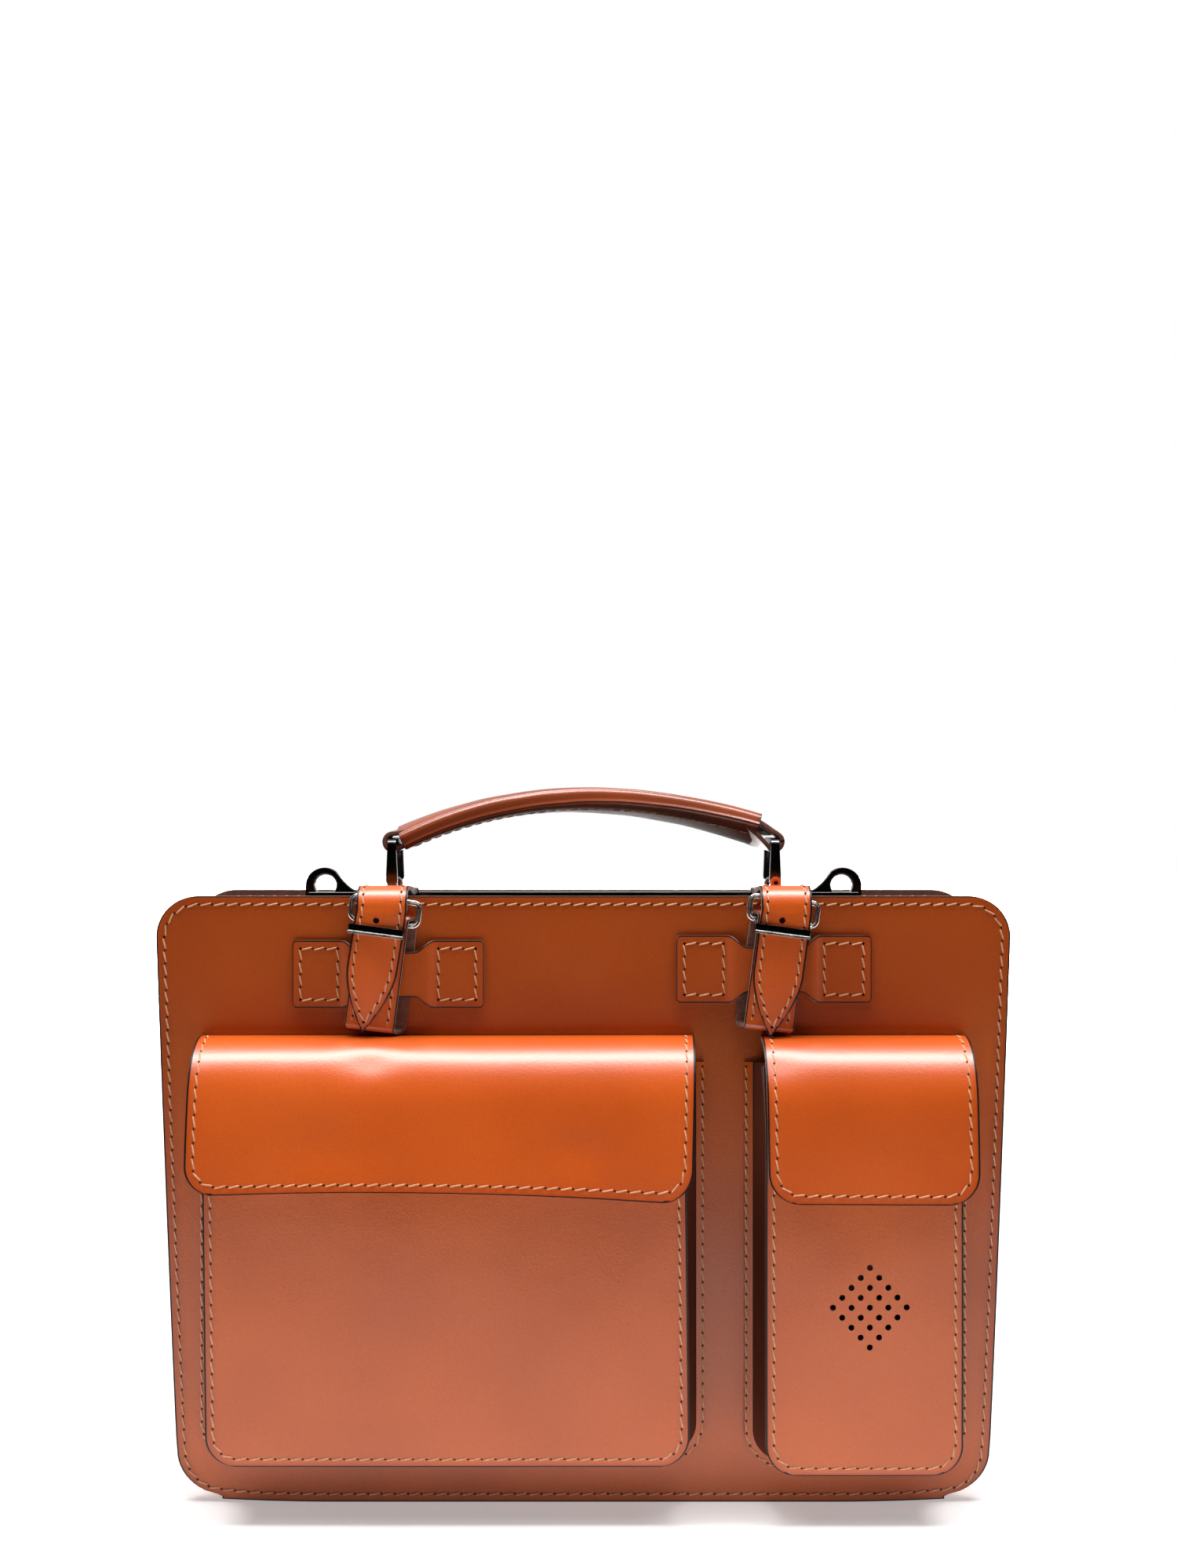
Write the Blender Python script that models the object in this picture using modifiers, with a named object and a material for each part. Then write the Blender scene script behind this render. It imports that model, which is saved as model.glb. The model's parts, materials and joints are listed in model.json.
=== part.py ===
"""Leather briefcase with two front pockets, two strap closures and a ringed top handle.

Metres, +Z up. The front of the bag faces -Y and it stands on the lower edges of its panels.
The origin is the middle of the footprint of the whole bag.
"""

import math

import bmesh
import bpy
from mathutils import Vector

MM = 0.001
GAP = 0.3 * MM                     # clearance between pieces that touch on the real bag

# Body of the bag
TOP_HALF_WIDTH = 190 * MM          # half width of the panels just under the top corners
BOTTOM_HALF_WIDTH = 180 * MM       # half width just above the bottom corners
PANEL_HEIGHT = 268 * MM
TOP_CORNER_RADIUS = 18 * MM
BOTTOM_CORNER_RADIUS = 20 * MM
CORNER_LIFT = 2.6 * MM             # how far the bottom edge rises towards its corners
FLAT_BOTTOM_HALF = 110 * MM        # the middle of the bottom edge that stays level
BODY_DEPTH = 90 * MM               # front face to back face
PANEL_THICKNESS = 3.4 * MM
GUSSET_INSET = 8.5 * MM            # the gusset runs this far inside the panel edge
GUSSET_THICKNESS = 1.8 * MM
GUSSET_TOP = 262 * MM
FLAP_PROTRUSION = 34.7 * MM        # pocket flap's face in front of the panel's face

BODY_MIDDLE = FLAP_PROTRUSION / 2  # Y of the divider, which centres the whole bag on Y = 0
FRONT_FACE = BODY_MIDDLE - BODY_DEPTH / 2
BACK_FACE = BODY_MIDDLE + BODY_DEPTH / 2

# Top bar on the divider
DIVIDER_TOP = 264 * MM
BAR_TOP = 266.8 * MM
BAR_CAP = 2.4 * MM
BAR_WALL = 2 * MM
BAR_DROP = 9.5 * MM
BAR_HALF_LENGTH = 128 * MM
LUG_X = 121.1 * MM
LUG_Z = 270 * MM
LUG_RADIUS = 8.6 * MM
LUG_THICKNESS = 3.6 * MM
LUG_SLOPE_END_X = 104.5 * MM        # the lug's slope meets the bar's top here
LUG_HOLLOW = 1.7                    # how hollow that slope is; 1 would be straight
EYELET_X = 120.4 * MM
EYELET_Z = 270.6 * MM
EYELET_RADIUS = 5.05 * MM
RIVET_XS = (-60 * MM, 0.0, 60 * MM)
RIVET_Z = 260.5 * MM
RIVET_RADIUS = 1.5 * MM
RIVET_HEAD_RADIUS = 3 * MM
RIVET_HEAD = 1 * MM

# Handle
RING_X = 88 * MM                   # the handle rings stand at plus and minus this
RING_FOOT_Z = 271 * MM
RING_HEAD_Z = 291 * MM
RING_HALF_DEPTH = 15 * MM
RING_WIRE = 1.5 * MM
STAPLE_WIRE = 0.8 * MM
STAPLE_RADIUS = 2.7 * MM
HANDLE_APEX = 310.2 * MM           # middle of the strap at its highest point
HANDLE_APEX_X = -2 * MM
HANDLE_BOW = 2.32                  # per metre: drop of the strap is this times x squared
HANDLE_SKEW = 3.4                  # per square metre: the right side drops less
HANDLE_STRAP_HALF = 2.3 * MM
HANDLE_STRAP_WIDTH = 21.4 * MM
HANDLE_EYE_OUTER = 4.9 * MM
HANDLE_EYE_INNER = 2.4 * MM
EYE_NECK = 1.2 * MM                # the strap runs on this far before it opens into an eye
SLEEVE_LEFT = -81 * MM
SLEEVE_RIGHT = 78.5 * MM
SLEEVE_HALF = 5.3 * MM
SLEEVE_WIDTH = 27 * MM

# Strap closures, measured outwards from the front face
STRAP_WIDTH = 22 * MM
STRAP_THICKNESS = 2 * MM
STRAP_LEAN = math.radians(7.5)
ANCHOR_BACK = 8 * MM               # the anchor ends this far behind the divider
STRAP_HINGE_BACK = 27 * MM         # hinge line behind the front face
STRAP_HINGE_Z = BAR_TOP + GAP + STRAP_THICKNESS / 2
HINGE_RELIEF = 1.4 * MM
TONGUE_CREST_Z = 271.7 * MM
TONGUE_OUT = 8.8 * MM
TONGUE_BEND = 9 * MM
LOOP_THICKNESS = 1.8 * MM
LOOP_SLOT = 2.6 * MM
LOOP_TOP_Z = 261 * MM
LOOP_BOTTOM_Z = 208.7 * MM
BUCKLE_FOOT_Z = 257 * MM
BUCKLE_HEIGHT = 9.5 * MM
BUCKLE_HALF_WIDTH = 15 * MM
BUCKLE_WIRE = 1 * MM
CLIP_Z = 253.4 * MM
CLIP_HEIGHT = 3.7 * MM
CLIP_WIDTH = 24.4 * MM
CLIP_PLATE = 0.9 * MM
PATCH_THICKNESS = 1.5 * MM
PATCH_RISE = 2.45 * MM
PATCH_BROAD = 15 * MM               # half height of a patch's sewn ends
PATCH_CORNER = 1 * MM
PATCH_SHOULDER = (                  # distance from the middle, half height, share of the rise
    (21.5 * MM, PATCH_BROAD, 0),
    (19.5 * MM, PATCH_BROAD - 0.6 * MM, 0.5),
    (17.5 * MM, 12.4 * MM, 1),
    (14 * MM, 10.4 * MM, 1),
    (11 * MM, 10 * MM, 1),
)
HOLE_RADIUS = 1.4 * MM

# name: patch centre X and Z, patch half length, strap X at the patch, tongue tip Z
CLOSURES = {
    "left": (-86.2 * MM, 233.7 * MM, 42.3 * MM, -91.0 * MM, 210.8 * MM),
    "right": (84.2 * MM, 235.9 * MM, 43.1 * MM, 84.9 * MM, 208.6 * MM),
}

# Pockets, measured outwards from the front face
POCKET_SHEET = 1.8 * MM
POCKET_FRONT_OUT = 29.7 * MM
FLAP_THICKNESS = 2 * MM
FLAP_HINGE_OUT = 24 * MM
FLAP_TOP_Z = 206.6 * MM
FLAP_BEND = 9 * MM
MAGNET_RADIUS = 7 * MM
MAGNET_HEIGHT = 1 * MM
PERFORATION_X = 122 * MM
PERFORATION_Z = 95 * MM
PERFORATION_RADIUS = 1.32 * MM
PERFORATION_STEP_X = 3.93 * MM
PERFORATION_STEP_Z = 4.25 * MM
PERFORATION_COUNT = 5

# name: front left, front right, base left, base right, front bottom, base bottom, pocket top,
#       flap left, flap right, flap bottom
POCKETS = {
    "big": (-161 * MM, 45.5 * MM, -165 * MM, 49.3 * MM, 26.5 * MM, 22.5 * MM, 196 * MM,
            -169 * MM, 48 * MM, 142 * MM),
    "small": (78 * MM, 162 * MM, 75.4 * MM, 165 * MM, 22.6 * MM, 19.5 * MM, 196 * MM,
              78.5 * MM, 168 * MM, 139 * MM),
}
POCKET_CORNER = 13 * MM
FLAP_CORNER = 13.5 * MM
POCKET_FLANGE = 4.6 * MM


def clear_scene():
    for obj in list(bpy.data.objects):
        bpy.data.objects.remove(obj, do_unlink=True)


def make_collection(name):
    collection = bpy.data.collections.new(name)
    bpy.context.scene.collection.children.link(collection)
    return collection


def make_material(name, color, roughness, metallic=0.0):
    material = bpy.data.materials.new(name)
    material.use_nodes = True
    shader = material.node_tree.nodes["Principled BSDF"]
    shader.inputs["Base Color"].default_value = (*color, 1.0)
    shader.inputs["Roughness"].default_value = roughness
    shader.inputs["Metallic"].default_value = metallic
    return material


def body_leather(name):
    return make_material(name, (0.32, 0.075, 0.018), 0.45)


def flap_leather(name):
    return make_material(name, (0.46, 0.11, 0.02), 0.4)


def suede_leather(name):
    return make_material(name, (0.16, 0.045, 0.018), 0.8)


def dark_steel(name):
    return make_material(name, (0.05, 0.05, 0.055), 0.2, 1.0)


def bright_steel(name):
    return make_material(name, (0.72, 0.7, 0.68), 0.15, 1.0)


# ---------------------------------------------------------------- building helpers

def link(obj, material, parent=None):
    PARTS.objects.link(obj)
    obj.data.materials.clear()
    obj.data.materials.append(material)
    if parent:
        obj.parent = parent
    return obj


def make_empty(name, location, rotation=(0, 0, 0), parent=None):
    empty = bpy.data.objects.new(name, None)
    empty.location = location
    empty.rotation_euler = rotation
    empty.parent = parent
    PARTS.objects.link(empty)
    return empty


def bake(obj, name):
    """A mesh object with the evaluated shape and place of obj, which is removed."""
    bpy.context.scene.collection.objects.link(obj)
    bpy.context.view_layer.update()
    evaluated = obj.evaluated_get(bpy.context.evaluated_depsgraph_get())
    mesh = bpy.data.meshes.new_from_object(evaluated)
    mesh.name = name
    bm = bmesh.new()
    bm.from_mesh(mesh)
    bmesh.ops.remove_doubles(bm, verts=bm.verts, dist=1e-6)
    bm.to_mesh(mesh)
    bm.free()
    result = bpy.data.objects.new(name, mesh)
    result.matrix_world = obj.matrix_world.copy()
    bpy.data.objects.remove(obj, do_unlink=True)
    return result


def flat_prism(name, outlines, thickness, location=(0, 0, 0), rotation=(math.pi / 2, 0, 0)):
    """Outlines (the first is the outer one, the rest are holes) made thickness thick.

    With the default rotation the outlines are X, Z points and the thickness lies along Y.
    """
    curve = bpy.data.curves.new(name, "CURVE")
    curve.dimensions = "2D"
    curve.fill_mode = "BOTH"
    curve.extrude = thickness / 2
    for outline in outlines:
        spline = curve.splines.new("POLY")
        spline.points.add(len(outline) - 1)
        for point, (x, y) in zip(spline.points, outline):
            point.co = (x, y, 0, 1)
        spline.use_cyclic_u = True
    obj = bpy.data.objects.new(name + "_outline", curve)
    obj.location = location
    obj.rotation_euler = rotation
    return bake(obj, name)


def sheet(name, rows, thickness):
    """An open surface through rows of points, made thickness thick about its middle."""
    bm = bmesh.new()
    grid = [[bm.verts.new(point) for point in row] for row in rows]
    for lower, upper in zip(grid, grid[1:]):
        for a, b, c, d in zip(lower, lower[1:], upper[1:], upper):
            bm.faces.new((a, b, c, d))
    bmesh.ops.recalc_face_normals(bm, faces=bm.faces)
    mesh = bpy.data.meshes.new(name)
    bm.to_mesh(mesh)
    bm.free()
    obj = bpy.data.objects.new(name, mesh)
    solidify = obj.modifiers.new("thickness", "SOLIDIFY")
    solidify.thickness = thickness
    solidify.offset = 0
    solidify.use_even_offset = True
    return obj


def wire(name, points, radius, cyclic=False, radii=None, location=(0, 0, 0)):
    curve = bpy.data.curves.new(name, "CURVE")
    curve.dimensions = "3D"
    curve.bevel_depth = radius
    curve.bevel_resolution = 2
    curve.use_fill_caps = not cyclic
    spline = curve.splines.new("POLY")
    spline.points.add(len(points) - 1)
    for index, point in enumerate(points):
        spline.points[index].co = (*point, 1)
        if radii:
            spline.points[index].radius = radii[index]
    spline.use_cyclic_u = cyclic
    obj = bpy.data.objects.new(name + "_path", curve)
    obj.location = location
    result = bake(obj, name)
    shade_round(result)
    return result


def turned_y(name, profile, location):
    """A solid turned about Y; profile is (radius, y) from its front end to its back end."""
    bm = bmesh.new()
    sides = 20
    rings = []
    for radius, y in profile:
        ring = []
        for step in range(sides):
            angle = 2 * math.pi * step / sides
            ring.append(bm.verts.new((radius * math.cos(angle), y, radius * math.sin(angle))))
        rings.append(ring)
    for front, back in zip(rings, rings[1:]):
        for step in range(sides):
            after = (step + 1) % sides
            bm.faces.new((front[step], front[after], back[after], back[step]))
    bm.faces.new(rings[0])
    bm.faces.new(rings[-1])
    bmesh.ops.recalc_face_normals(bm, faces=bm.faces)
    mesh = bpy.data.meshes.new(name)
    bm.to_mesh(mesh)
    bm.free()
    obj = bpy.data.objects.new(name, mesh)
    obj.location = location
    shade_round(obj)
    return obj


def shade_round(obj):
    obj.data.shade_smooth()
    obj.data.set_sharp_from_angle(angle=math.radians(35))


def bevel_edges(obj, width, segments=1):
    modifier = obj.modifiers.new("rounding", "BEVEL")
    modifier.width = width
    modifier.segments = segments
    modifier.limit_method = "ANGLE"
    modifier.angle_limit = math.radians(50)
    return obj


def cut(obj, cutter):
    if cutter.name not in CUTTERS.objects:
        CUTTERS.objects.link(cutter)
    cutter.hide_render = True
    cutter.display_type = "WIRE"
    modifier = obj.modifiers.new("cut_" + cutter.name, "BOOLEAN")
    modifier.operation = "DIFFERENCE"
    modifier.solver = "EXACT"
    modifier.object = cutter


def join(obj, other):
    if other.name not in CUTTERS.objects:
        CUTTERS.objects.link(other)
    other.hide_render = True
    other.display_type = "WIRE"
    modifier = obj.modifiers.new("join_" + other.name, "BOOLEAN")
    modifier.operation = "UNION"
    modifier.solver = "EXACT"
    modifier.object = other


def drill(obj, name, radius, length, location, rotation=(math.pi / 2, 0, 0), sides=12):
    """Cut a round hole through obj; the default rotation drills along Y."""
    bm = bmesh.new()
    bmesh.ops.create_cone(bm, cap_ends=True, segments=sides, radius1=radius, radius2=radius,
                          depth=length)
    mesh = bpy.data.meshes.new(name)
    bm.to_mesh(mesh)
    bm.free()
    cutter = bpy.data.objects.new(name, mesh)
    cutter.location = location
    cutter.rotation_euler = rotation
    cut(obj, cutter)


def arc(centre_x, centre_z, radius, start, end, steps):
    """Points of an arc from start to end, both in degrees."""
    points = []
    for step in range(steps + 1):
        angle = math.radians(start + (end - start) * step / steps)
        points.append((centre_x + radius * math.cos(angle),
                       centre_z + radius * math.sin(angle)))
    return points


# ---------------------------------------------------------------- outlines

def side_half_width(z):
    """Half width of a panel at height z: the sides lean out and are a little hollow."""
    share = min(max((z - BOTTOM_CORNER_RADIUS) / (PANEL_HEIGHT - BOTTOM_CORNER_RADIUS), 0), 1)
    return BOTTOM_HALF_WIDTH + (TOP_HALF_WIDTH - BOTTOM_HALF_WIDTH) * share ** 0.9


def bottom_height(x):
    """Height of the panel's bottom edge, level in the middle and lifted at the corners."""
    beyond = max(abs(x) - FLAT_BOTTOM_HALF, 0) / (BOTTOM_HALF_WIDTH - FLAT_BOTTOM_HALF)
    return CORNER_LIFT * beyond ** 2


def lower_outline(inset, top):
    """The U of a panel's edge moved inwards by inset, from the left top to the right top."""
    radius = max(BOTTOM_CORNER_RADIUS - inset, 6 * MM)
    corner_x = BOTTOM_HALF_WIDTH - inset - radius
    corner_z = CORNER_LIFT * 0.8 + inset + radius
    side_heights = [corner_z + (top - corner_z) * share for share in (0.25, 0.5, 0.75, 1)]
    right = arc(corner_x, corner_z, radius, -90, 0, 6)
    right += [(side_half_width(z) - inset, z) for z in side_heights]
    bottom_xs = (140 * MM, FLAT_BOTTOM_HALF)
    right = [(x, bottom_height(x) + inset) for x in reversed(bottom_xs)] + right
    left = [(-x, z) for x, z in reversed(right)]
    return left + right


def panel_outline(inset=0.0):
    """The whole outline of a panel, anticlockwise seen from the front."""
    radius = TOP_CORNER_RADIUS - inset
    top = PANEL_HEIGHT - inset
    half = TOP_HALF_WIDTH - inset
    outline = lower_outline(inset, top - radius)
    outline += arc(half - radius, top - radius, radius, 0, 90, 6)[1:]
    outline += arc(radius - half, top - radius, radius, 90, 180, 6)[:-1]
    return outline


def pocket_lower_outline(left, right, bottom, top, radius):
    """The U of a pocket's edge from its left top round to its right top."""
    points = [(left, top), (left, (top + bottom) / 2)]
    points += arc(left + radius, bottom + radius, radius, 180, 270, 5)
    points += arc(right - radius, bottom + radius, radius, 270, 360, 5)
    points += [(right, (top + bottom) / 2), (right, top)]
    return points


# ---------------------------------------------------------------- body of the bag

def build_panel(name, outer_face, inward):
    middle = outer_face + inward * PANEL_THICKNESS / 2
    panel = flat_prism(name, [panel_outline()], PANEL_THICKNESS, (0, middle, 0))
    bevel_edges(panel, 0.4 * MM)
    link(panel, body_leather(name))


def build_divider():
    outline = panel_outline(1 * MM)
    outline = [(x, min(z, DIVIDER_TOP)) for x, z in outline]
    divider = flat_prism("divider_panel", [outline], PANEL_THICKNESS, (0, BODY_MIDDLE, 0))
    for number, x in enumerate(RIVET_XS, start=1):
        drill(divider, f"divider_hole_{number}", RIVET_RADIUS + GAP, 3 * PANEL_THICKNESS,
              (x, BODY_MIDDLE, RIVET_Z))
    link(divider, suede_leather("divider_panel"))


def build_gusset(name, panel_face, divider_face, towards_divider):
    """A U of leather between a panel and the divider, with out-turned flanges at both."""
    clear = towards_divider * (GAP + GUSSET_THICKNESS / 2)
    flange_edge = 1.6 * MM
    section = [
        (flange_edge, panel_face + clear),
        (GUSSET_INSET, panel_face + clear),
        (GUSSET_INSET + 1.5 * MM, (panel_face + divider_face) / 2),
        (GUSSET_INSET, divider_face - clear),
        (flange_edge, divider_face - clear),
    ]
    rows = []
    for inset, y in section:
        rows.append([(x, y, z) for x, z in lower_outline(inset, GUSSET_TOP)])
    gusset = sheet(name, rows, GUSSET_THICKNESS)
    link(gusset, body_leather(name))


def build_body():
    build_panel("front_panel", FRONT_FACE, 1)
    build_panel("back_panel", BACK_FACE, -1)
    build_divider()
    half_divider = PANEL_THICKNESS / 2
    build_gusset("front_gusset", FRONT_FACE + PANEL_THICKNESS, BODY_MIDDLE - half_divider, 1)
    build_gusset("back_gusset", BACK_FACE - PANEL_THICKNESS, BODY_MIDDLE + half_divider, -1)


# ---------------------------------------------------------------- top bar

def lug_outline(side):
    """Teardrop plate round a strap eyelet, with a hollow slope towards the middle."""
    foot = BAR_TOP - 1.5 * MM
    points = [(-LUG_X - LUG_RADIUS, foot)] + arc(-LUG_X, LUG_Z, LUG_RADIUS, 180, 48, 9)
    start_x, start_z = points[-1]
    for step in range(1, 6):
        share = step / 5
        x = start_x + (-LUG_SLOPE_END_X - start_x) * share
        points.append((x, BAR_TOP + (start_z - BAR_TOP) * (1 - share) ** LUG_HOLLOW))
    points.append((-LUG_SLOPE_END_X, foot))
    return [(side * x, z) for x, z in points]


def build_top_bar():
    outer = PANEL_THICKNESS / 2 + GAP + BAR_WALL
    inner = PANEL_THICKNESS / 2 + GAP
    foot = BAR_TOP - BAR_DROP
    cap = BAR_TOP - BAR_CAP
    channel = [(-outer, foot), (-inner, foot), (-inner, cap), (inner, cap), (inner, foot),
               (outer, foot), (outer, BAR_TOP), (-outer, BAR_TOP)]
    bar = flat_prism("top_bar", [channel], 2 * BAR_HALF_LENGTH, (0, BODY_MIDDLE, 0),
                     (math.pi / 2, 0, math.pi / 2))
    for side, label in ((1, "left"), (-1, "right")):
        eyelet = arc(-side * EYELET_X, EYELET_Z, EYELET_RADIUS, 0, 360, 20)[:-1]
        lug = flat_prism(f"lug_{label}", [lug_outline(side), eyelet], LUG_THICKNESS,
                         (0, BODY_MIDDLE, 0))
        join(bar, lug)
    for number, x in enumerate(RIVET_XS, start=1):
        drill(bar, f"bar_hole_{number}", RIVET_RADIUS + GAP, 4 * outer,
              (x, BODY_MIDDLE, RIVET_Z))
    for label, side in (("left", -1), ("right", 1)):
        for leg in (-1, 1):
            x = side * RING_X + leg * STAPLE_RADIUS
            drill(bar, f"staple_hole_{label}_{leg + 1}", STAPLE_WIRE + GAP, 4 * BAR_CAP,
                  (x, BODY_MIDDLE, BAR_TOP), (0, 0, 0))
    link(bar, dark_steel("top_bar"))


def build_bar_rivets():
    reach = PANEL_THICKNESS / 2 + 2 * GAP + BAR_WALL
    profile = [(RIVET_HEAD_RADIUS, -reach - RIVET_HEAD), (RIVET_HEAD_RADIUS, -reach),
               (RIVET_RADIUS, -reach), (RIVET_RADIUS, reach),
               (RIVET_HEAD_RADIUS, reach), (RIVET_HEAD_RADIUS, reach + RIVET_HEAD)]
    for label, x in zip(("left", "middle", "right"), RIVET_XS):
        rivet = turned_y(f"bar_rivet_{label}", profile, (x, BODY_MIDDLE, RIVET_Z))
        link(rivet, dark_steel(f"bar_rivet_{label}"))


# ---------------------------------------------------------------- handle

def handle_middle(x):
    """Height of the middle of the handle strap at x."""
    along = x - HANDLE_APEX_X
    return HANDLE_APEX - HANDLE_BOW * along ** 2 + HANDLE_SKEW * along ** 3


def handle_band(start, end, half, steps):
    """A band of the handle's arch, half thick each side of its middle line."""
    upper = []
    lower = []
    for step in range(steps + 1):
        x = start + (end - start) * step / steps
        slope = handle_middle(x + MM) - handle_middle(x - MM)
        normal = Vector((-slope, 2 * MM)).normalized()
        upper.append((x + normal.x * half, handle_middle(x) + normal.y * half))
        lower.append((x - normal.x * half, handle_middle(x) - normal.y * half))
    return upper, lower


def build_handle(parent):
    """The strap runs through the sleeve and ends in an eye round each ring."""
    origin = Vector((-RING_X, BODY_MIDDLE, RING_HEAD_Z))
    upper, lower = handle_band(SLEEVE_LEFT - EYE_NECK, SLEEVE_RIGHT + EYE_NECK,
                               HANDLE_STRAP_HALF, 16)
    right_eye = arc(RING_X, RING_HEAD_Z, HANDLE_EYE_OUTER, 78, -140, 9)
    left_eye = arc(-RING_X, RING_HEAD_Z, HANDLE_EYE_OUTER, -35, -258, 9)
    outline = upper + right_eye + list(reversed(lower)) + left_eye
    holes = []
    for x in (-RING_X, RING_X):
        holes.append(arc(x, RING_HEAD_Z, HANDLE_EYE_INNER, 0, 360, 14)[:-1])
    shapes = [[(x - origin.x, z - origin.z) for x, z in shape] for shape in [outline] + holes]
    strap = flat_prism("handle_strap", shapes, HANDLE_STRAP_WIDTH)
    link(strap, suede_leather("handle_strap"), parent)

    upper, lower = handle_band(SLEEVE_LEFT, SLEEVE_RIGHT, SLEEVE_HALF, 16)
    outline = upper + list(reversed(lower))
    outline = [(x - origin.x, z - origin.z) for x, z in outline]
    sleeve = flat_prism("handle_sleeve", [outline], SLEEVE_WIDTH)
    bevel = sleeve.modifiers.new("rounding", "BEVEL")
    bevel.width = 3.2 * MM
    bevel.segments = 3
    bevel.limit_method = "ANGLE"
    bevel.angle_limit = math.radians(60)
    upper, lower = handle_band(SLEEVE_LEFT - 8 * MM, SLEEVE_RIGHT + 8 * MM,
                               HANDLE_STRAP_HALF + GAP, 18)
    slot = upper + list(reversed(lower))
    slot = [(x - origin.x, z - origin.z) for x, z in slot]
    cutter = flat_prism("sleeve_slot", [slot], HANDLE_STRAP_WIDTH + 2 * GAP)
    cutter.parent = parent
    cut(sleeve, cutter)
    link(sleeve, body_leather("handle_sleeve"), parent)
    shade_round(sleeve)


def ring_points(half_depth, height, corner):
    """A closed rounded rectangle in Y and Z, standing on the middle of its lower bar."""
    points = []
    for centre_y, centre_z, start in (
            (half_depth - corner, corner, -90),
            (half_depth - corner, height - corner, 0),
            (corner - half_depth, height - corner, 90),
            (corner - half_depth, corner, 180)):
        points += arc(centre_y, centre_z, corner, start, start + 90, 3)
    return points


def build_handle_ring(label, side):
    """A tall ring on the joint at its lower bar; returns the empty it turns on."""
    pivot = make_empty(f"pivot_handle_ring_{label}", (side * RING_X, BODY_MIDDLE, RING_FOOT_Z))
    name = f"handle_ring_{label}"
    points = ring_points(RING_HALF_DEPTH, RING_HEAD_Z - RING_FOOT_Z, 2 * MM)
    ring = wire(name, [(0, y, z) for y, z in points], RING_WIRE, cyclic=True)
    link(ring, dark_steel(name), pivot)
    return pivot


def build_ring_staple(label, side):
    """An arch over the ring's lower bar whose legs go down through the strap and the bar."""
    name = f"ring_staple_{label}"
    foot = BAR_TOP - BAR_CAP + 0.2 * MM - RING_FOOT_Z
    points = [(STAPLE_RADIUS, 0, foot)]
    points += [(x, 0, z) for x, z in arc(0, 0, STAPLE_RADIUS, 0, 180, 8)]
    points.append((-STAPLE_RADIUS, 0, foot))
    staple = wire(name, points, STAPLE_WIRE,
                  location=(side * RING_X, BODY_MIDDLE, RING_FOOT_Z))
    link(staple, bright_steel(name))


def build_handle_group():
    left = build_handle_ring("left", -1)
    build_handle_ring("right", 1)
    for label, side in (("left", -1), ("right", 1)):
        build_ring_staple(label, side)
    hinge = make_empty("pivot_handle", (0, 0, RING_HEAD_Z - RING_FOOT_Z), parent=left)
    build_handle(hinge)


# ---------------------------------------------------------------- strap closures

def strap_x(closure, z):
    """Middle of the leaning strap at height z."""
    _, patch_z, _, axis_x, _ = CLOSURES[closure]
    return axis_x + (z - patch_z) * math.tan(STRAP_LEAN)


def build_strap_anchor(closure):
    """The fixed root of a closure strap, on the bar and held by the ring staple."""
    name = f"strap_anchor_{closure}"
    middle_x = strap_x(closure, PANEL_HEIGHT)
    front = FRONT_FACE + STRAP_HINGE_BACK + HINGE_RELIEF
    back = BODY_MIDDLE + ANCHOR_BACK
    half = STRAP_WIDTH / 2
    rows = []
    for y, narrowing in ((front, 0), (back - 4 * MM, 0), (back - 1 * MM, 2 * MM),
                         (back, 4 * MM)):
        rows.append([(middle_x - half + narrowing, y, STRAP_HINGE_Z),
                     (middle_x + half - narrowing, y, STRAP_HINGE_Z)])
    anchor = sheet(name, rows, STRAP_THICKNESS)
    side = -1 if closure == "left" else 1
    for leg in (-1, 1):
        drill(anchor, f"anchor_hole_{closure}_{leg + 1}", STAPLE_WIRE + GAP, 10 * MM,
              (side * RING_X + leg * STAPLE_RADIUS, BODY_MIDDLE, STRAP_HINGE_Z), (0, 0, 0))
    link(anchor, flap_leather(name))


def tongue_half_width(z, tip_z):
    """Half width of the tongue at height z: full, then drawn in to a point."""
    rise = (z - tip_z) / (26 * MM)
    if rise >= 1:
        return STRAP_WIDTH / 2
    return max(STRAP_WIDTH / 2 * math.sin(rise * math.pi / 2) ** 0.8, 0.6 * MM)


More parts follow.
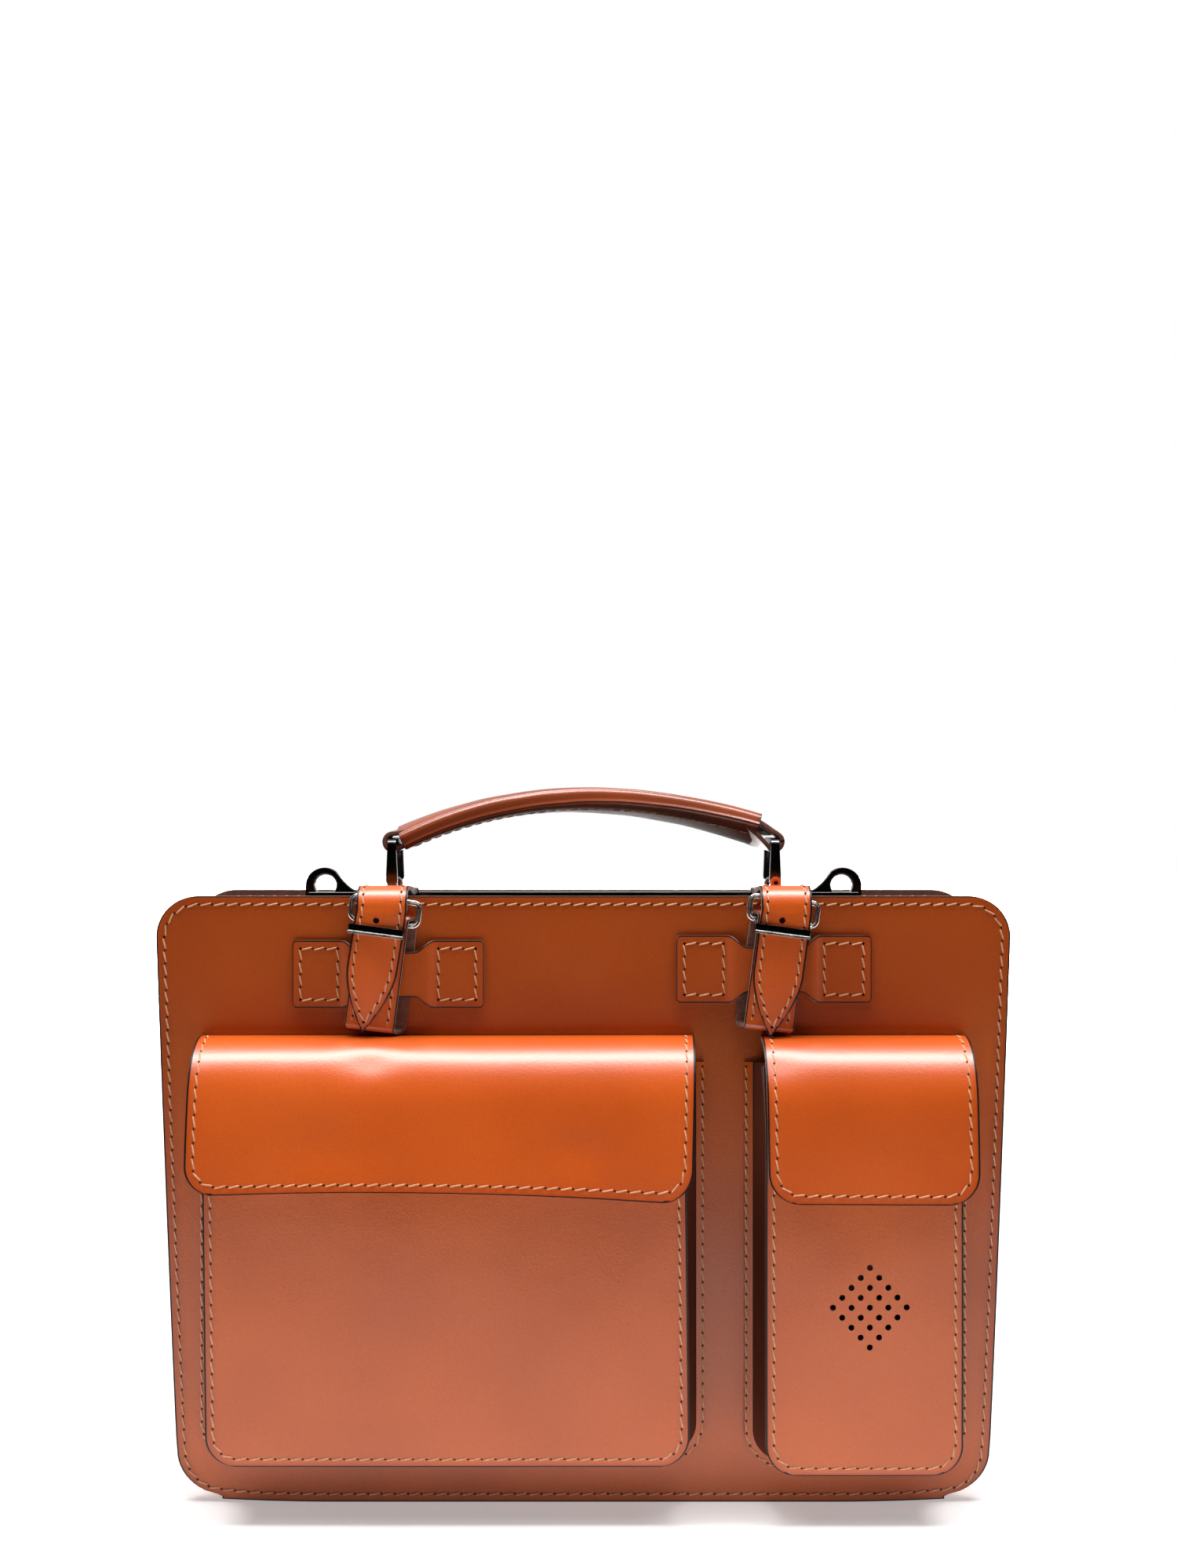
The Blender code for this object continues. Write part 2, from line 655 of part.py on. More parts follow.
def build_closure_strap(closure):
    """The lifting strap: over the mouth of the bag, round a bend and down to a point."""
    name = f"closure_strap_{closure}"
    _, _, _, _, tip_z = CLOSURES[closure]
    origin = Vector((strap_x(closure, PANEL_HEIGHT), FRONT_FACE + STRAP_HINGE_BACK,
                     STRAP_HINGE_Z))
    pivot = make_empty(f"pivot_{name}", origin)
    top_x = origin.x
    half = STRAP_WIDTH / 2
    rows = [[(top_x - half, origin.y, STRAP_HINGE_Z), (top_x + half, origin.y, STRAP_HINGE_Z)]]
    bend_y = FRONT_FACE - TONGUE_OUT + TONGUE_BEND
    bend_z = TONGUE_CREST_Z - TONGUE_BEND
    for step in range(7):
        angle = math.radians(90 + 15 * step)
        y = bend_y + TONGUE_BEND * math.cos(angle)
        z = bend_z + TONGUE_BEND * math.sin(angle)
        rows.append([(top_x - half, y, z), (top_x + half, y, z)])
    drop_steps = 12
    for step in range(1, drop_steps + 1):
        z = bend_z + (tip_z - bend_z) * step / drop_steps
        middle = top_x - (bend_z - z) * math.tan(STRAP_LEAN)
        width = tongue_half_width(z, tip_z)
        y = FRONT_FACE - TONGUE_OUT
        rows.append([(middle - width, y, z), (middle + width, y, z)])
    local = [[Vector(point) - origin for point in row] for row in rows]
    strap = sheet(name, local, STRAP_THICKNESS)
    hole_x = top_x - (bend_z - BUCKLE_FOOT_Z) * math.tan(STRAP_LEAN)
    link(strap, flap_leather(name), pivot)
    drill(strap, f"punched_hole_{closure}", HOLE_RADIUS, 6 * MM,
          (hole_x, FRONT_FACE - TONGUE_OUT, BUCKLE_FOOT_Z))
    build_strap_clip(closure, pivot, origin, top_x - (bend_z - CLIP_Z) * math.tan(STRAP_LEAN))


def build_strap_clip(closure, pivot, origin, middle_x):
    """A flat metal clip round the tongue, square to the leaning strap."""
    name = f"strap_clip_{closure}"
    inner_x = STRAP_WIDTH / 2 + 0.3 * MM
    inner_y = STRAP_THICKNESS / 2 + GAP
    outer_x = CLIP_WIDTH / 2 + 0.2 * MM
    outer_y = inner_y + CLIP_PLATE
    outer = [(-outer_x, -outer_y), (outer_x, -outer_y), (outer_x, outer_y), (-outer_x, outer_y)]
    slot_x = inner_x + 0.35 * MM
    slot = [(-slot_x, -inner_y), (slot_x, -inner_y), (slot_x, inner_y), (-slot_x, inner_y)]
    place = Vector((middle_x, FRONT_FACE - TONGUE_OUT, CLIP_Z)) - origin
    clip = flat_prism(name, [outer, slot], CLIP_HEIGHT, place, (0, STRAP_LEAN, 0))
    link(clip, dark_steel(name), pivot)


def build_strap_loop(closure):
    """A flattened loop of strap through the patch, holding the buckle ring at its top."""
    name = f"strap_loop_{closure}"
    outer_half = LOOP_SLOT / 2 + LOOP_THICKNESS
    middle_out = GAP + outer_half
    foot = LOOP_BOTTOM_Z + outer_half
    head = LOOP_TOP_Z - outer_half
    half_length = (head - foot) / 2
    outlines = []
    for radius, steps in ((outer_half, 8), (LOOP_SLOT / 2, 8)):
        outlines.append(arc(0, half_length, radius, 0, 180, steps)
                        + arc(0, -half_length, radius, 180, 360, steps))
    middle_z = (head + foot) / 2
    frame = make_empty(f"frame_{name}",
                       (strap_x(closure, middle_z), FRONT_FACE - middle_out, middle_z),
                       (0, STRAP_LEAN, 0))
    loop = flat_prism(name, outlines, STRAP_WIDTH, (0, 0, 0), (math.pi / 2, 0, math.pi / 2))
    link(loop, flap_leather(name), frame)


def build_buckle_ring(closure):
    """A wire rectangle whose lower bar turns in the top of the strap loop."""
    name = f"buckle_ring_{closure}"
    out = GAP + LOOP_THICKNESS + LOOP_SLOT / 2
    pivot = make_empty(f"pivot_{name}",
                       (strap_x(closure, BUCKLE_FOOT_Z), FRONT_FACE - out, BUCKLE_FOOT_Z),
                       (0, STRAP_LEAN, 0))
    points = ring_points(BUCKLE_HALF_WIDTH, BUCKLE_HEIGHT, 3 * MM)
    ring = wire(name, [(x, 0, z) for x, z in points], BUCKLE_WIRE, cyclic=True)
    link(ring, bright_steel(name), pivot)


def build_strap_patch(closure):
    """A sewn patch with two broad ends and a narrow raised middle that holds the loop."""
    name = f"strap_patch_{closure}"
    patch_x, patch_z, half_length, _, _ = CLOSURES[closure]
    stations = ((half_length, PATCH_BROAD - PATCH_CORNER, 0),
                (half_length - PATCH_CORNER, PATCH_BROAD, 0)) + PATCH_SHOULDER
    rows = []
    for sign, order in ((-1, stations), (1, tuple(reversed(stations)))):
        for x, half_height, rise in order:
            out = GAP + PATCH_THICKNESS / 2 + rise * PATCH_RISE
            rows.append([(sign * x, -out, -half_height), (sign * x, -out, half_height)])
    patch = sheet(name, rows, PATCH_THICKNESS)
    patch.location = (patch_x, FRONT_FACE, patch_z)
    link(patch, body_leather(name))


def build_closures():
    for closure in CLOSURES:
        build_strap_anchor(closure)
        build_closure_strap(closure)
        build_strap_loop(closure)
        build_buckle_ring(closure)
        build_strap_patch(closure)


# ---------------------------------------------------------------- pockets

def build_pocket_front(pocket):
    name = f"{pocket}_pocket_front"
    left, right, _, _, bottom, _, top, _, _, _ = POCKETS[pocket]
    outline = pocket_lower_outline(left, right, bottom, top, POCKET_CORNER)
    middle = FRONT_FACE - POCKET_FRONT_OUT + POCKET_SHEET / 2
    front = flat_prism(name, [outline], POCKET_SHEET, (0, middle, 0))
    if pocket == "small":
        perforate(front)
    link(front, body_leather(name))


def perforate(front):
    """A diamond of punched holes, five to a side."""
    last = PERFORATION_COUNT - 1
    for row in range(PERFORATION_COUNT):
        for column in range(PERFORATION_COUNT):
            x = PERFORATION_X + (row - column) * PERFORATION_STEP_X
            z = PERFORATION_Z + (row + column - last) * PERFORATION_STEP_Z
            drill(front, f"perforation_{row}_{column}", PERFORATION_RADIUS, 6 * MM,
                  (x, FRONT_FACE - POCKET_FRONT_OUT, z), sides=8)


def build_pocket_gusset(pocket):
    """The side and bottom band of a pocket, with a flange on the bag and one at the front."""
    name = f"{pocket}_pocket_gusset"
    left, right, base_left, base_right, bottom, base_bottom, top, _, _, _ = POCKETS[pocket]
    half = POCKET_SHEET / 2
    base_y = FRONT_FACE - GAP - half
    front_y = FRONT_FACE - POCKET_FRONT_OUT + POCKET_SHEET + GAP + half
    sections = (
        (base_left - POCKET_FLANGE, base_right + POCKET_FLANGE, base_bottom - POCKET_FLANGE,
         POCKET_CORNER + POCKET_FLANGE, base_y),
        (base_left + half, base_right - half, base_bottom + half, POCKET_CORNER, base_y),
        (left + half, right - half, bottom + half, POCKET_CORNER, front_y),
        (left + 7 * MM, right - 7 * MM, bottom + 7 * MM, POCKET_CORNER - 5 * MM, front_y),
    )
    rows = []
    for section_left, section_right, section_bottom, radius, y in sections:
        outline = pocket_lower_outline(section_left, section_right, section_bottom,
                                       top - 1 * MM, radius)
        rows.append([(x, y, z) for x, z in outline])
    gusset = sheet(name, rows, POCKET_SHEET)
    link(gusset, body_leather(name))


def build_flap_top(pocket):
    """The part of a flap that is sewn to the bag and covers the pocket's mouth."""
    name = f"{pocket}_flap_top"
    _, _, _, _, _, _, _, left, right, _ = POCKETS[pocket]
    z = FLAP_TOP_Z - FLAP_THICKNESS / 2
    back = FRONT_FACE - GAP
    front = FRONT_FACE - FLAP_HINGE_OUT + HINGE_RELIEF
    rows = [[(left, y, z), (right, y, z)] for y in (back, front)]
    top = sheet(name, rows, FLAP_THICKNESS)
    link(top, flap_leather(name))


def build_flap(pocket):
    """The part of a flap that lifts: from the fold line round a bend and down the front."""
    name = f"{pocket}_flap"
    _, _, _, _, _, _, _, left, right, bottom = POCKETS[pocket]
    z = FLAP_TOP_Z - FLAP_THICKNESS / 2
    origin = Vector(((left + right) / 2, FRONT_FACE - FLAP_HINGE_OUT, z))
    pivot = make_empty(f"pivot_{name}", origin)
    front_y = FRONT_FACE - FLAP_PROTRUSION + FLAP_THICKNESS / 2
    bend_y = front_y + FLAP_BEND
    bend_z = z - FLAP_BEND
    path = [(origin.y, z, 0)]
    for step in range(6):
        angle = math.radians(90 + 18 * step)
        path.append((bend_y + FLAP_BEND * math.cos(angle),
                     bend_z + FLAP_BEND * math.sin(angle), 0))
    for step in range(6):
        angle = math.radians(18 * step)
        drop = bottom + FLAP_CORNER - FLAP_CORNER * math.sin(angle)
        path.append((front_y, drop, FLAP_CORNER * (1 - math.cos(angle))))
    rows = []
    for y, height, narrowing in path:
        rows.append([Vector((left + narrowing, y, height)) - origin,
                     Vector((right - narrowing, y, height)) - origin])
    flap = sheet(name, rows, FLAP_THICKNESS)
    link(flap, flap_leather(name), pivot)
    build_flap_magnets(pocket, pivot, origin)


def build_flap_magnets(pocket, pivot, origin):
    """A flat magnet behind the flap and its keeper on the pocket, face to face."""
    _, _, _, _, _, _, _, left, right, bottom = POCKETS[pocket]
    x = (left + right) / 2
    z = bottom + 22 * MM
    flap_face = FRONT_FACE - FLAP_PROTRUSION + FLAP_THICKNESS
    pocket_face = FRONT_FACE - POCKET_FRONT_OUT
    profile = [(MAGNET_RADIUS, -MAGNET_HEIGHT / 2), (MAGNET_RADIUS, MAGNET_HEIGHT / 2)]
    magnet_y = flap_face + GAP + MAGNET_HEIGHT / 2
    magnet = turned_y(f"{pocket}_flap_magnet", profile, Vector((x, magnet_y, z)) - origin)
    link(magnet, bright_steel(f"{pocket}_flap_magnet"), pivot)
    keeper_y = pocket_face - GAP - MAGNET_HEIGHT / 2
    keeper = turned_y(f"{pocket}_pocket_keeper", profile, (x, keeper_y, z))
    link(keeper, bright_steel(f"{pocket}_pocket_keeper"))


def build_pockets():
    for pocket in POCKETS:
        build_pocket_front(pocket)
        build_pocket_gusset(pocket)
        build_flap_top(pocket)
        build_flap(pocket)


clear_scene()
PARTS = make_collection("leather_briefcase")
CUTTERS = make_collection("cutters")
build_body()
build_top_bar()
build_bar_rivets()
build_handle_group()
build_closures()
build_pockets()
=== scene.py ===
"""Looks of the leather briefcase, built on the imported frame."""
import json
import math

import bmesh
import bpy
from mathutils.kdtree import KDTree
from mathutils import Euler, Matrix, Vector, noise

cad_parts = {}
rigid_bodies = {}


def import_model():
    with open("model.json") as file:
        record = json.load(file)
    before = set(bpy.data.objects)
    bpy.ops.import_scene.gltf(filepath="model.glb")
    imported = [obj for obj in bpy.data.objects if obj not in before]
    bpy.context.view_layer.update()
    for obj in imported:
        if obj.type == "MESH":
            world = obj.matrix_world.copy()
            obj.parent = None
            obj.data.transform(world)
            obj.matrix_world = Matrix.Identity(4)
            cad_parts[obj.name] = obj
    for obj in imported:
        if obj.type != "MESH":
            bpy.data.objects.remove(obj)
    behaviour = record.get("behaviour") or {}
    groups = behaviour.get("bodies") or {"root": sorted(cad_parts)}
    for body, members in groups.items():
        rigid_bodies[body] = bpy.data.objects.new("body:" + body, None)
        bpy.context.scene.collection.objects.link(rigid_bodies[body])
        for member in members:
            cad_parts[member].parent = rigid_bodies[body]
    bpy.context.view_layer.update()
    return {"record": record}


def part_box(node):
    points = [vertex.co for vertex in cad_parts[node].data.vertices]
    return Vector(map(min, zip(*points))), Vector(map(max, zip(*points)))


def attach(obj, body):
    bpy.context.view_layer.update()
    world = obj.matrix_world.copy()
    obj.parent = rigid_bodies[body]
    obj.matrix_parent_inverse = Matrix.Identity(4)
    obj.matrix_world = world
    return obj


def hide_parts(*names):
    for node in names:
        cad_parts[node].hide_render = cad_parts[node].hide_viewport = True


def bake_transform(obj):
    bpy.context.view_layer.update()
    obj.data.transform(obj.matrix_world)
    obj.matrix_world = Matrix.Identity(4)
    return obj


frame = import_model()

MM = 0.001

# ---------------------------------------------------------------- places from the frame

def unit(value):
    """The value held between 0 and 1."""
    return min(max(value, 0), 1)


def smooth(value):
    """A soft step from 0 to 1."""
    share = unit(value)
    return share * share * (3 - 2 * share)


def spread(low, high, steps):
    """Evenly spaced values from low to high, both included."""
    return [low + (high - low) * step / steps for step in range(steps + 1)]


def corners(node):
    """The low and the high corner of a node's box."""
    low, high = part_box(node)
    return Vector(low), Vector(high)


PANEL_LOW, PANEL_HIGH = corners("front_panel")
FRONT_FACE = PANEL_LOW.y
BACK_FACE = corners("back_panel")[1].y
MIDDLE = (FRONT_FACE + BACK_FACE) / 2
PANEL_TOP = PANEL_HIGH.z
PANEL_THICK = PANEL_HIGH.y - PANEL_LOW.y
TOP_HALF = PANEL_HIGH.x
JOINTS = {joint["name"]: joint for joint in frame["record"]["behaviour"]["joints"]}

BOTTOM_HALF = TOP_HALF - 9.6 * MM
TOP_CORNER = 18 * MM
BOTTOM_CORNER = 20 * MM
CORNER_LIFT = 2.6 * MM
LEVEL_HALF = 110 * MM
SHEET_GAP = 0.25 * MM
INNER_STITCH_FOOT = 255 * MM
GUSSET_TOP = 262 * MM
# Painted shade: the leather darkens above this height, over this span.
TOP_SHADE_FROM = 200 * MM
TOP_SHADE_OVER = 22 * MM


# ---------------------------------------------------------------- materials

def set_inputs(node, values):
    for name, value in values.items():
        node.inputs[name.replace("_", " ")].default_value = value


class Shader:
    """A small helper round one material's node tree."""

    def __init__(self, name):
        self.material = bpy.data.materials.new(name)
        self.material.use_nodes = True
        self.tree = self.material.node_tree
        self.surface = self.tree.nodes["Principled BSDF"]
        self.coordinates = self.add("ShaderNodeTexCoord").outputs["Object"]

    def add(self, kind, **inputs):
        node = self.tree.nodes.new(kind)
        set_inputs(node, inputs)
        return node

    def link(self, output, target):
        self.tree.links.new(output, target)

    def noise(self, scale, detail=2.0, roughness=0.5):
        node = self.add("ShaderNodeTexNoise", Scale=scale, Detail=detail, Roughness=roughness)
        self.link(self.coordinates, node.inputs["Vector"])
        return node.outputs["Fac"]

    def cells(self, scale):
        node = self.add("ShaderNodeTexVoronoi", Scale=scale)
        self.link(self.coordinates, node.inputs["Vector"])
        return node.outputs["Distance"]

    def ramp(self, value, stops):
        node = self.add("ShaderNodeValToRGB")
        elements = node.color_ramp.elements
        while len(elements) < len(stops):
            elements.new(0.5)
        for element, (position, color) in zip(elements, stops):
            element.position = position
            element.color = (*color, 1)
        self.link(value, node.inputs["Fac"])
        return node.outputs["Color"]

    def span(self, value, low, high):
        node = self.add("ShaderNodeMapRange", From_Min=0.3, From_Max=0.7, To_Min=low, To_Max=high)
        self.link(value, node.inputs["Value"])
        return node.outputs["Result"]

    def bump(self, height, strength, distance, before=None):
        node = self.add("ShaderNodeBump", Strength=strength, Distance=distance)
        self.link(height, node.inputs["Height"])
        if before:
            self.link(before, node.inputs["Normal"])
        return node.outputs["Normal"]

    def multiply(self, first, second, share):
        node = self.add("ShaderNodeMix")
        node.data_type = "RGBA"
        node.blend_type = "MULTIPLY"
        node.inputs["Factor"].default_value = share
        self.link(first, node.inputs["A"])
        self.link(second, node.inputs["B"])
        return node.outputs["Result"]

    def finish(self, color, normal=None, **inputs):
        """Connect the colour and the relief, set the plain numbers, and return the material."""
        self.link(color, self.surface.inputs["Base Color"])
        if normal:
            self.link(normal, self.surface.inputs["Normal"])
        set_inputs(self.surface, inputs)
        return self.material


def leather(name, colors, roughness, coat, grain=0.3, specular=0.4, wax=0.2):
    """Waxed full-grain leather: mottled dye, fine pores, gentle waves and a wax coat, darkened by
    the edge attribute: burnished edges, and painted shade near the top of the bag.

    The colors run from dark to light, and wax is the roughness of the coat.
    """
    shader = Shader(name)
    color = shader.ramp(shader.noise(14, 2, 0.45), tuple(zip((0.2, 0.5, 0.8), colors)))
    fine = shader.ramp(shader.noise(1400, 2, 0.5), ((0.3, (0.78, 0.72, 0.68)), (0.62, (1, 1, 1))))
    color = shader.multiply(color, fine, 0.4)
    # The edge attribute darkens the colour: burnished edges, and painted shade near the top of the
    # bag.
    edge = shader.add("ShaderNodeAttribute")
    edge.attribute_name = "edge"
    rub_and_shade = shader.ramp(edge.outputs["Fac"], ((0, (1, 1, 1)), (1, (0.62, 0.5, 0.45))))
    color = shader.multiply(color, rub_and_shade, 0.9)
    wear = shader.span(shader.noise(45, 2, 0.4), roughness - 0.01, roughness + 0.02)
    shader.link(wear, shader.surface.inputs["Roughness"])
    waves = shader.bump(shader.noise(26, 2, 0.5), 0.35, 1.6 * MM)
    pebbles = shader.bump(shader.cells(950), grain, 0.2 * MM, waves)
    return shader.finish(color, pebbles, Coat_Weight=coat, Coat_Roughness=wax,
                         Specular_IOR_Level=specular)


def plain(name, pattern, colors, stops, relief=None, **inputs):
    """Two colours mixed by a noise pattern; relief is a pattern, its strength and depth."""
    shader = Shader(name)
    color = shader.ramp(shader.noise(*pattern), tuple(zip(stops, colors)))
    normal = shader.bump(shader.noise(*relief[0]), *relief[1:]) if relief else None
    return shader.finish(color, normal, **inputs)


def metal(name, dark, light, roughness):
    """Polished plate with faint handling marks."""
    shader = Shader(name)
    color = shader.ramp(shader.noise(60, 4, 0.6), ((0.35, dark), (0.65, light)))
    marks = shader.span(shader.noise(260, 5, 0.7), roughness * 0.7, roughness * 1.5)
    shader.link(marks, shader.surface.inputs["Roughness"])
    relief = shader.bump(shader.noise(700, 3, 0.6), 0.08, 0.2 * MM)
    return shader.finish(color, relief, Metallic=1.0)


# BODY and FLAP are copies of one cognac leather that differ as painted light and shade: FLAP is
# painted lighter, for the flaps and straps that tilt up to the light from above, and BODY is the
# darker, shaded copy for the panels and pocket fronts.
BODY = leather("body_leather", ((0.42, 0.07, 0.0058), (0.51, 0.088, 0.0075),
                                (0.58, 0.107, 0.0105)), 0.33, 0.3)
FLAP = leather("flap_leather", ((0.54, 0.079, 0.0062), (0.63, 0.096, 0.0078),
                                (0.69, 0.112, 0.011)), 0.3, 0.85, grain=0.24, wax=0.31)
GRIP = leather("grip_leather", ((0.19, 0.036, 0.011), (0.26, 0.05, 0.014),
                                (0.32, 0.066, 0.019)), 0.3, 0.4, grain=0.2)
# Painted shade: a near-black copy of the leather for the pocket gussets' folded middle, deep in its
# groove.
DARK = leather("gusset_wall_painted_shade", ((0.05, 0.011, 0.005), (0.08, 0.018, 0.008),
                                  (0.11, 0.026, 0.01)), 0.6, 0.0, specular=0.15)
# Painted shade: a darker copy of the grip leather for the handle's underside.
UNDERSIDE_SHADE = leather("grip_underside_painted_shade", ((0.07, 0.018, 0.01), (0.1, 0.027, 0.015),
                                  (0.13, 0.036, 0.02)), 0.45, 0.0, specular=0.3)
LINING = plain("lining_suede", (520, 6, 0.75), ((0.09, 0.022, 0.01), (0.2, 0.06, 0.028)),
               (0.32, 0.68), ((1500, 5, 0.8), 0.7, 0.5 * MM),
               Roughness=0.88, Sheen_Weight=0.35, Sheen_Roughness=0.5)
EDGE = plain("edge_paint", (320, 4, 0.7), ((0.004, 0.003, 0.003), (0.016, 0.011, 0.009)),
             (0.3, 0.72), ((420, 4, 0.6), 0.5, 0.35 * MM),
             Roughness=0.36, Specular_IOR_Level=0.25)
THREAD = plain("waxed_thread", (700, 3, 0.7), ((0.46, 0.19, 0.075), (0.74, 0.38, 0.19)),
               (0.3, 0.65), ((2400, 2, 0.5), 0.5, 0.15 * MM), Roughness=0.6, Sheen_Weight=0.3)
# Painted shade: the dark of the needle holes beside the stitches.
HOLE = plain("needle_hole_painted_shade", (900,), ((0.012, 0.005, 0.003), (0.04, 0.014, 0.006)),
             (0.3, 0.7), Roughness=0.85)
GUNMETAL = metal("gunmetal", (0.045, 0.044, 0.046), (0.1, 0.098, 0.1), 0.14)
NICKEL = metal("nickel", (0.66, 0.64, 0.61), (0.86, 0.84, 0.81), 0.2)
PLATE = metal("magnet_plate", (0.4, 0.4, 0.4), (0.55, 0.55, 0.54), 0.32)
BODY_SHEET = (BODY, EDGE, LINING)
FLAP_SHEET = (FLAP, EDGE, LINING)
GRIP_SHEET = (GRIP, EDGE, LINING)


# ---------------------------------------------------------------- making pieces

def wave(x, z, seed=0.0, size=0.07):
    """A smooth random height between about -1 and 1, for dents and crowns in leather."""
    return noise.noise(Vector((x / size + seed, z / size - seed, seed * 1.7)))


def place_piece(obj, materials, replaces, body=None, blend=None):
    """Put a finished object in the scene, on its body, for the nodes it stands for."""
    if obj.name not in bpy.context.scene.collection.objects:
        bpy.context.scene.collection.objects.link(obj)
    for index, material in enumerate(materials):
        if index < len(obj.data.materials):
            obj.data.materials[index] = material
        else:
            obj.data.materials.append(material)
    if replaces:
        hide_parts(*replaces)
    if blend:
        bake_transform(obj)
    else:
        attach(obj, body)
    return obj


def fold_blend(joint, body, behind):
    """A blend from the bag to a body, from behind the joint to 4 mm in front of it."""
    x, y, z = JOINTS[joint]["pos_m"]
    return "bag", body, (x, y + behind, z), (x, y - 4 * MM, z)


def mesh_object(name, bm, angle=38):
    mesh = bpy.data.meshes.new(name)
    bm.to_mesh(mesh)
    bm.free()
    mesh.shade_smooth()
    mesh.set_sharp_from_angle(angle=math.radians(angle))
    return bpy.data.objects.new(name, mesh)


def apply_modifiers(obj, angle=38):
    """The object with its modifiers made part of its mesh."""
    scene_objects = bpy.context.scene.collection.objects
    scene_objects.link(obj)
    bpy.context.view_layer.update()
    evaluated = obj.evaluated_get(bpy.context.evaluated_depsgraph_get())
    mesh = bpy.data.meshes.new_from_object(evaluated)
    old = obj.data
    obj.modifiers.clear()
    obj.data = mesh
    bpy.data.meshes.remove(old)
    mesh.name = obj.name
    mesh.shade_smooth()
    mesh.set_sharp_from_angle(angle=math.radians(angle))
    return obj


def round_edges(obj, width, segments):
    bevel = obj.modifiers.new("rounding", "BEVEL")
    bevel.width = width
    bevel.segments = segments
    bevel.limit_method = "ANGLE"
    bevel.angle_limit = math.radians(50)


def skin(bm, pairs):
    """Faces between pairs of closed rings of vertices."""
    for lower, upper in pairs:
        for step in range(len(lower)):
            after = (step + 1) % len(lower)
            bm.faces.new((lower[step], lower[after], upper[after], upper[step]))


def cut_holes(sheet, places, radius, segments):
    """Punch round holes through a sheet, front to back; their walls show the suede."""
    bm = bmesh.new()
    for place in places:
        matrix = Matrix.Translation(place) @ Matrix.Rotation(math.pi / 2, 4, "X")
        bmesh.ops.create_cone(bm, cap_ends=True, segments=segments, radius1=radius,
                              radius2=radius, depth=12 * MM, matrix=matrix)
    cutter = mesh_object("hole_cutter", bm)
    for _ in range(3):
        cutter.data.materials.append(None)
    for face in cutter.data.polygons:
        face.material_index = 2
    bpy.context.scene.collection.objects.link(cutter)
    boolean = sheet.modifiers.new("holes", "BOOLEAN")
    boolean.object = cutter
    boolean.solver = "EXACT"
    bpy.context.scene.collection.objects.unlink(sheet)
    apply_modifiers(sheet)
    bpy.data.objects.remove(cutter, do_unlink=True)


def insert_border(line, width):
    """A line of points with one more point near each end, at width or half way to the next."""
    first = (line[1] - line[0]).length
    last = (line[-2] - line[-1]).length
    start = line[0].lerp(line[1], min(width / max(first, 1e-6), 0.5))
    end = line[-1].lerp(line[-2], min(width / max(last, 1e-6), 0.5))
    return [line[0], start] + list(line[1:-1]) + [end, line[-1]]


def border_tree(grid, closed):
    """A search tree of points along the border of a grid of points."""
    sides = [grid[0], grid[-1]]
    if not closed:
        sides += [[row[0] for row in grid], [row[-1] for row in grid]]
    points = []
    for side in sides:
        points += [Vector(point) for point in resample(side, 0.4 * MM)]
    tree = KDTree(len(points))
    for index, point in enumerate(points):
        tree.insert(point, index)
    tree.balance()
    return tree


def leather_sheet(name, rows, thickness, paint=0.6 * MM, outward=(0, -1, 0), closed=False,
                  rub_and_shade=1.0, probe=0.5):
    """A leather sheet through rows of points: grain side outward, painted rim, suede back.

    Material 0 is the grain side, 1 the rim and a border as wide as paint, and 2 the back.
    The grain side of the face a share probe of the way through the rows looks outward.
    The attribute "edge" is 1 at the border of the sheet and fades out a few millimetres in.
    """
    reach = 2.4 * MM
    grid = [[Vector(point) for point in row] for row in rows]
    if paint and not closed:
        grid = [insert_border(row, paint) for row in grid]
    if paint:
        columns = [insert_border(list(column), paint) for column in zip(*grid)]
        grid = [list(row) for row in zip(*columns)]
    tree = border_tree(grid, closed)
    bm = bmesh.new()
    layer = bm.verts.layers.float.new("edge")
    corners = []
    for row in grid:
        corners.append([bm.verts.new(point) for point in row])
    for vertex in bm.verts:
        near = tree.find(vertex.co)[2]
        vertex[layer] = rub_and_shade * max(0.0, 1 - near / reach) ** 1.5
    for lower, upper in zip(corners, corners[1:]):
        columns = list(zip(lower, upper))
        if closed:
            columns.append(columns[0])
        for (a, d), (b, c) in zip(columns, columns[1:]):
            face = bm.faces.new((a, b, c, d))
            if tree.find(face.calc_center_median())[2] < 0.75 * paint:
                face.material_index = 1
    bmesh.ops.recalc_face_normals(bm, faces=bm.faces)
    bm.faces.ensure_lookup_table()
    middle = bm.faces[int(len(bm.faces) * probe)]
    bm.normal_update()
    if middle.normal.dot(Vector(outward)) < 0:
        bmesh.ops.reverse_faces(bm, faces=bm.faces)
    obj = mesh_object(name, bm)
    for _ in range(3):
        obj.data.materials.append(None)
    solid = obj.modifiers.new("thickness", "SOLIDIFY")
    solid.thickness = thickness
    solid.offset = 0
    solid.use_even_offset = True
    solid.material_offset_rim = 1
    solid.material_offset = 2
    round_edges(obj, 0.3 * MM, 2)
    return apply_modifiers(obj)


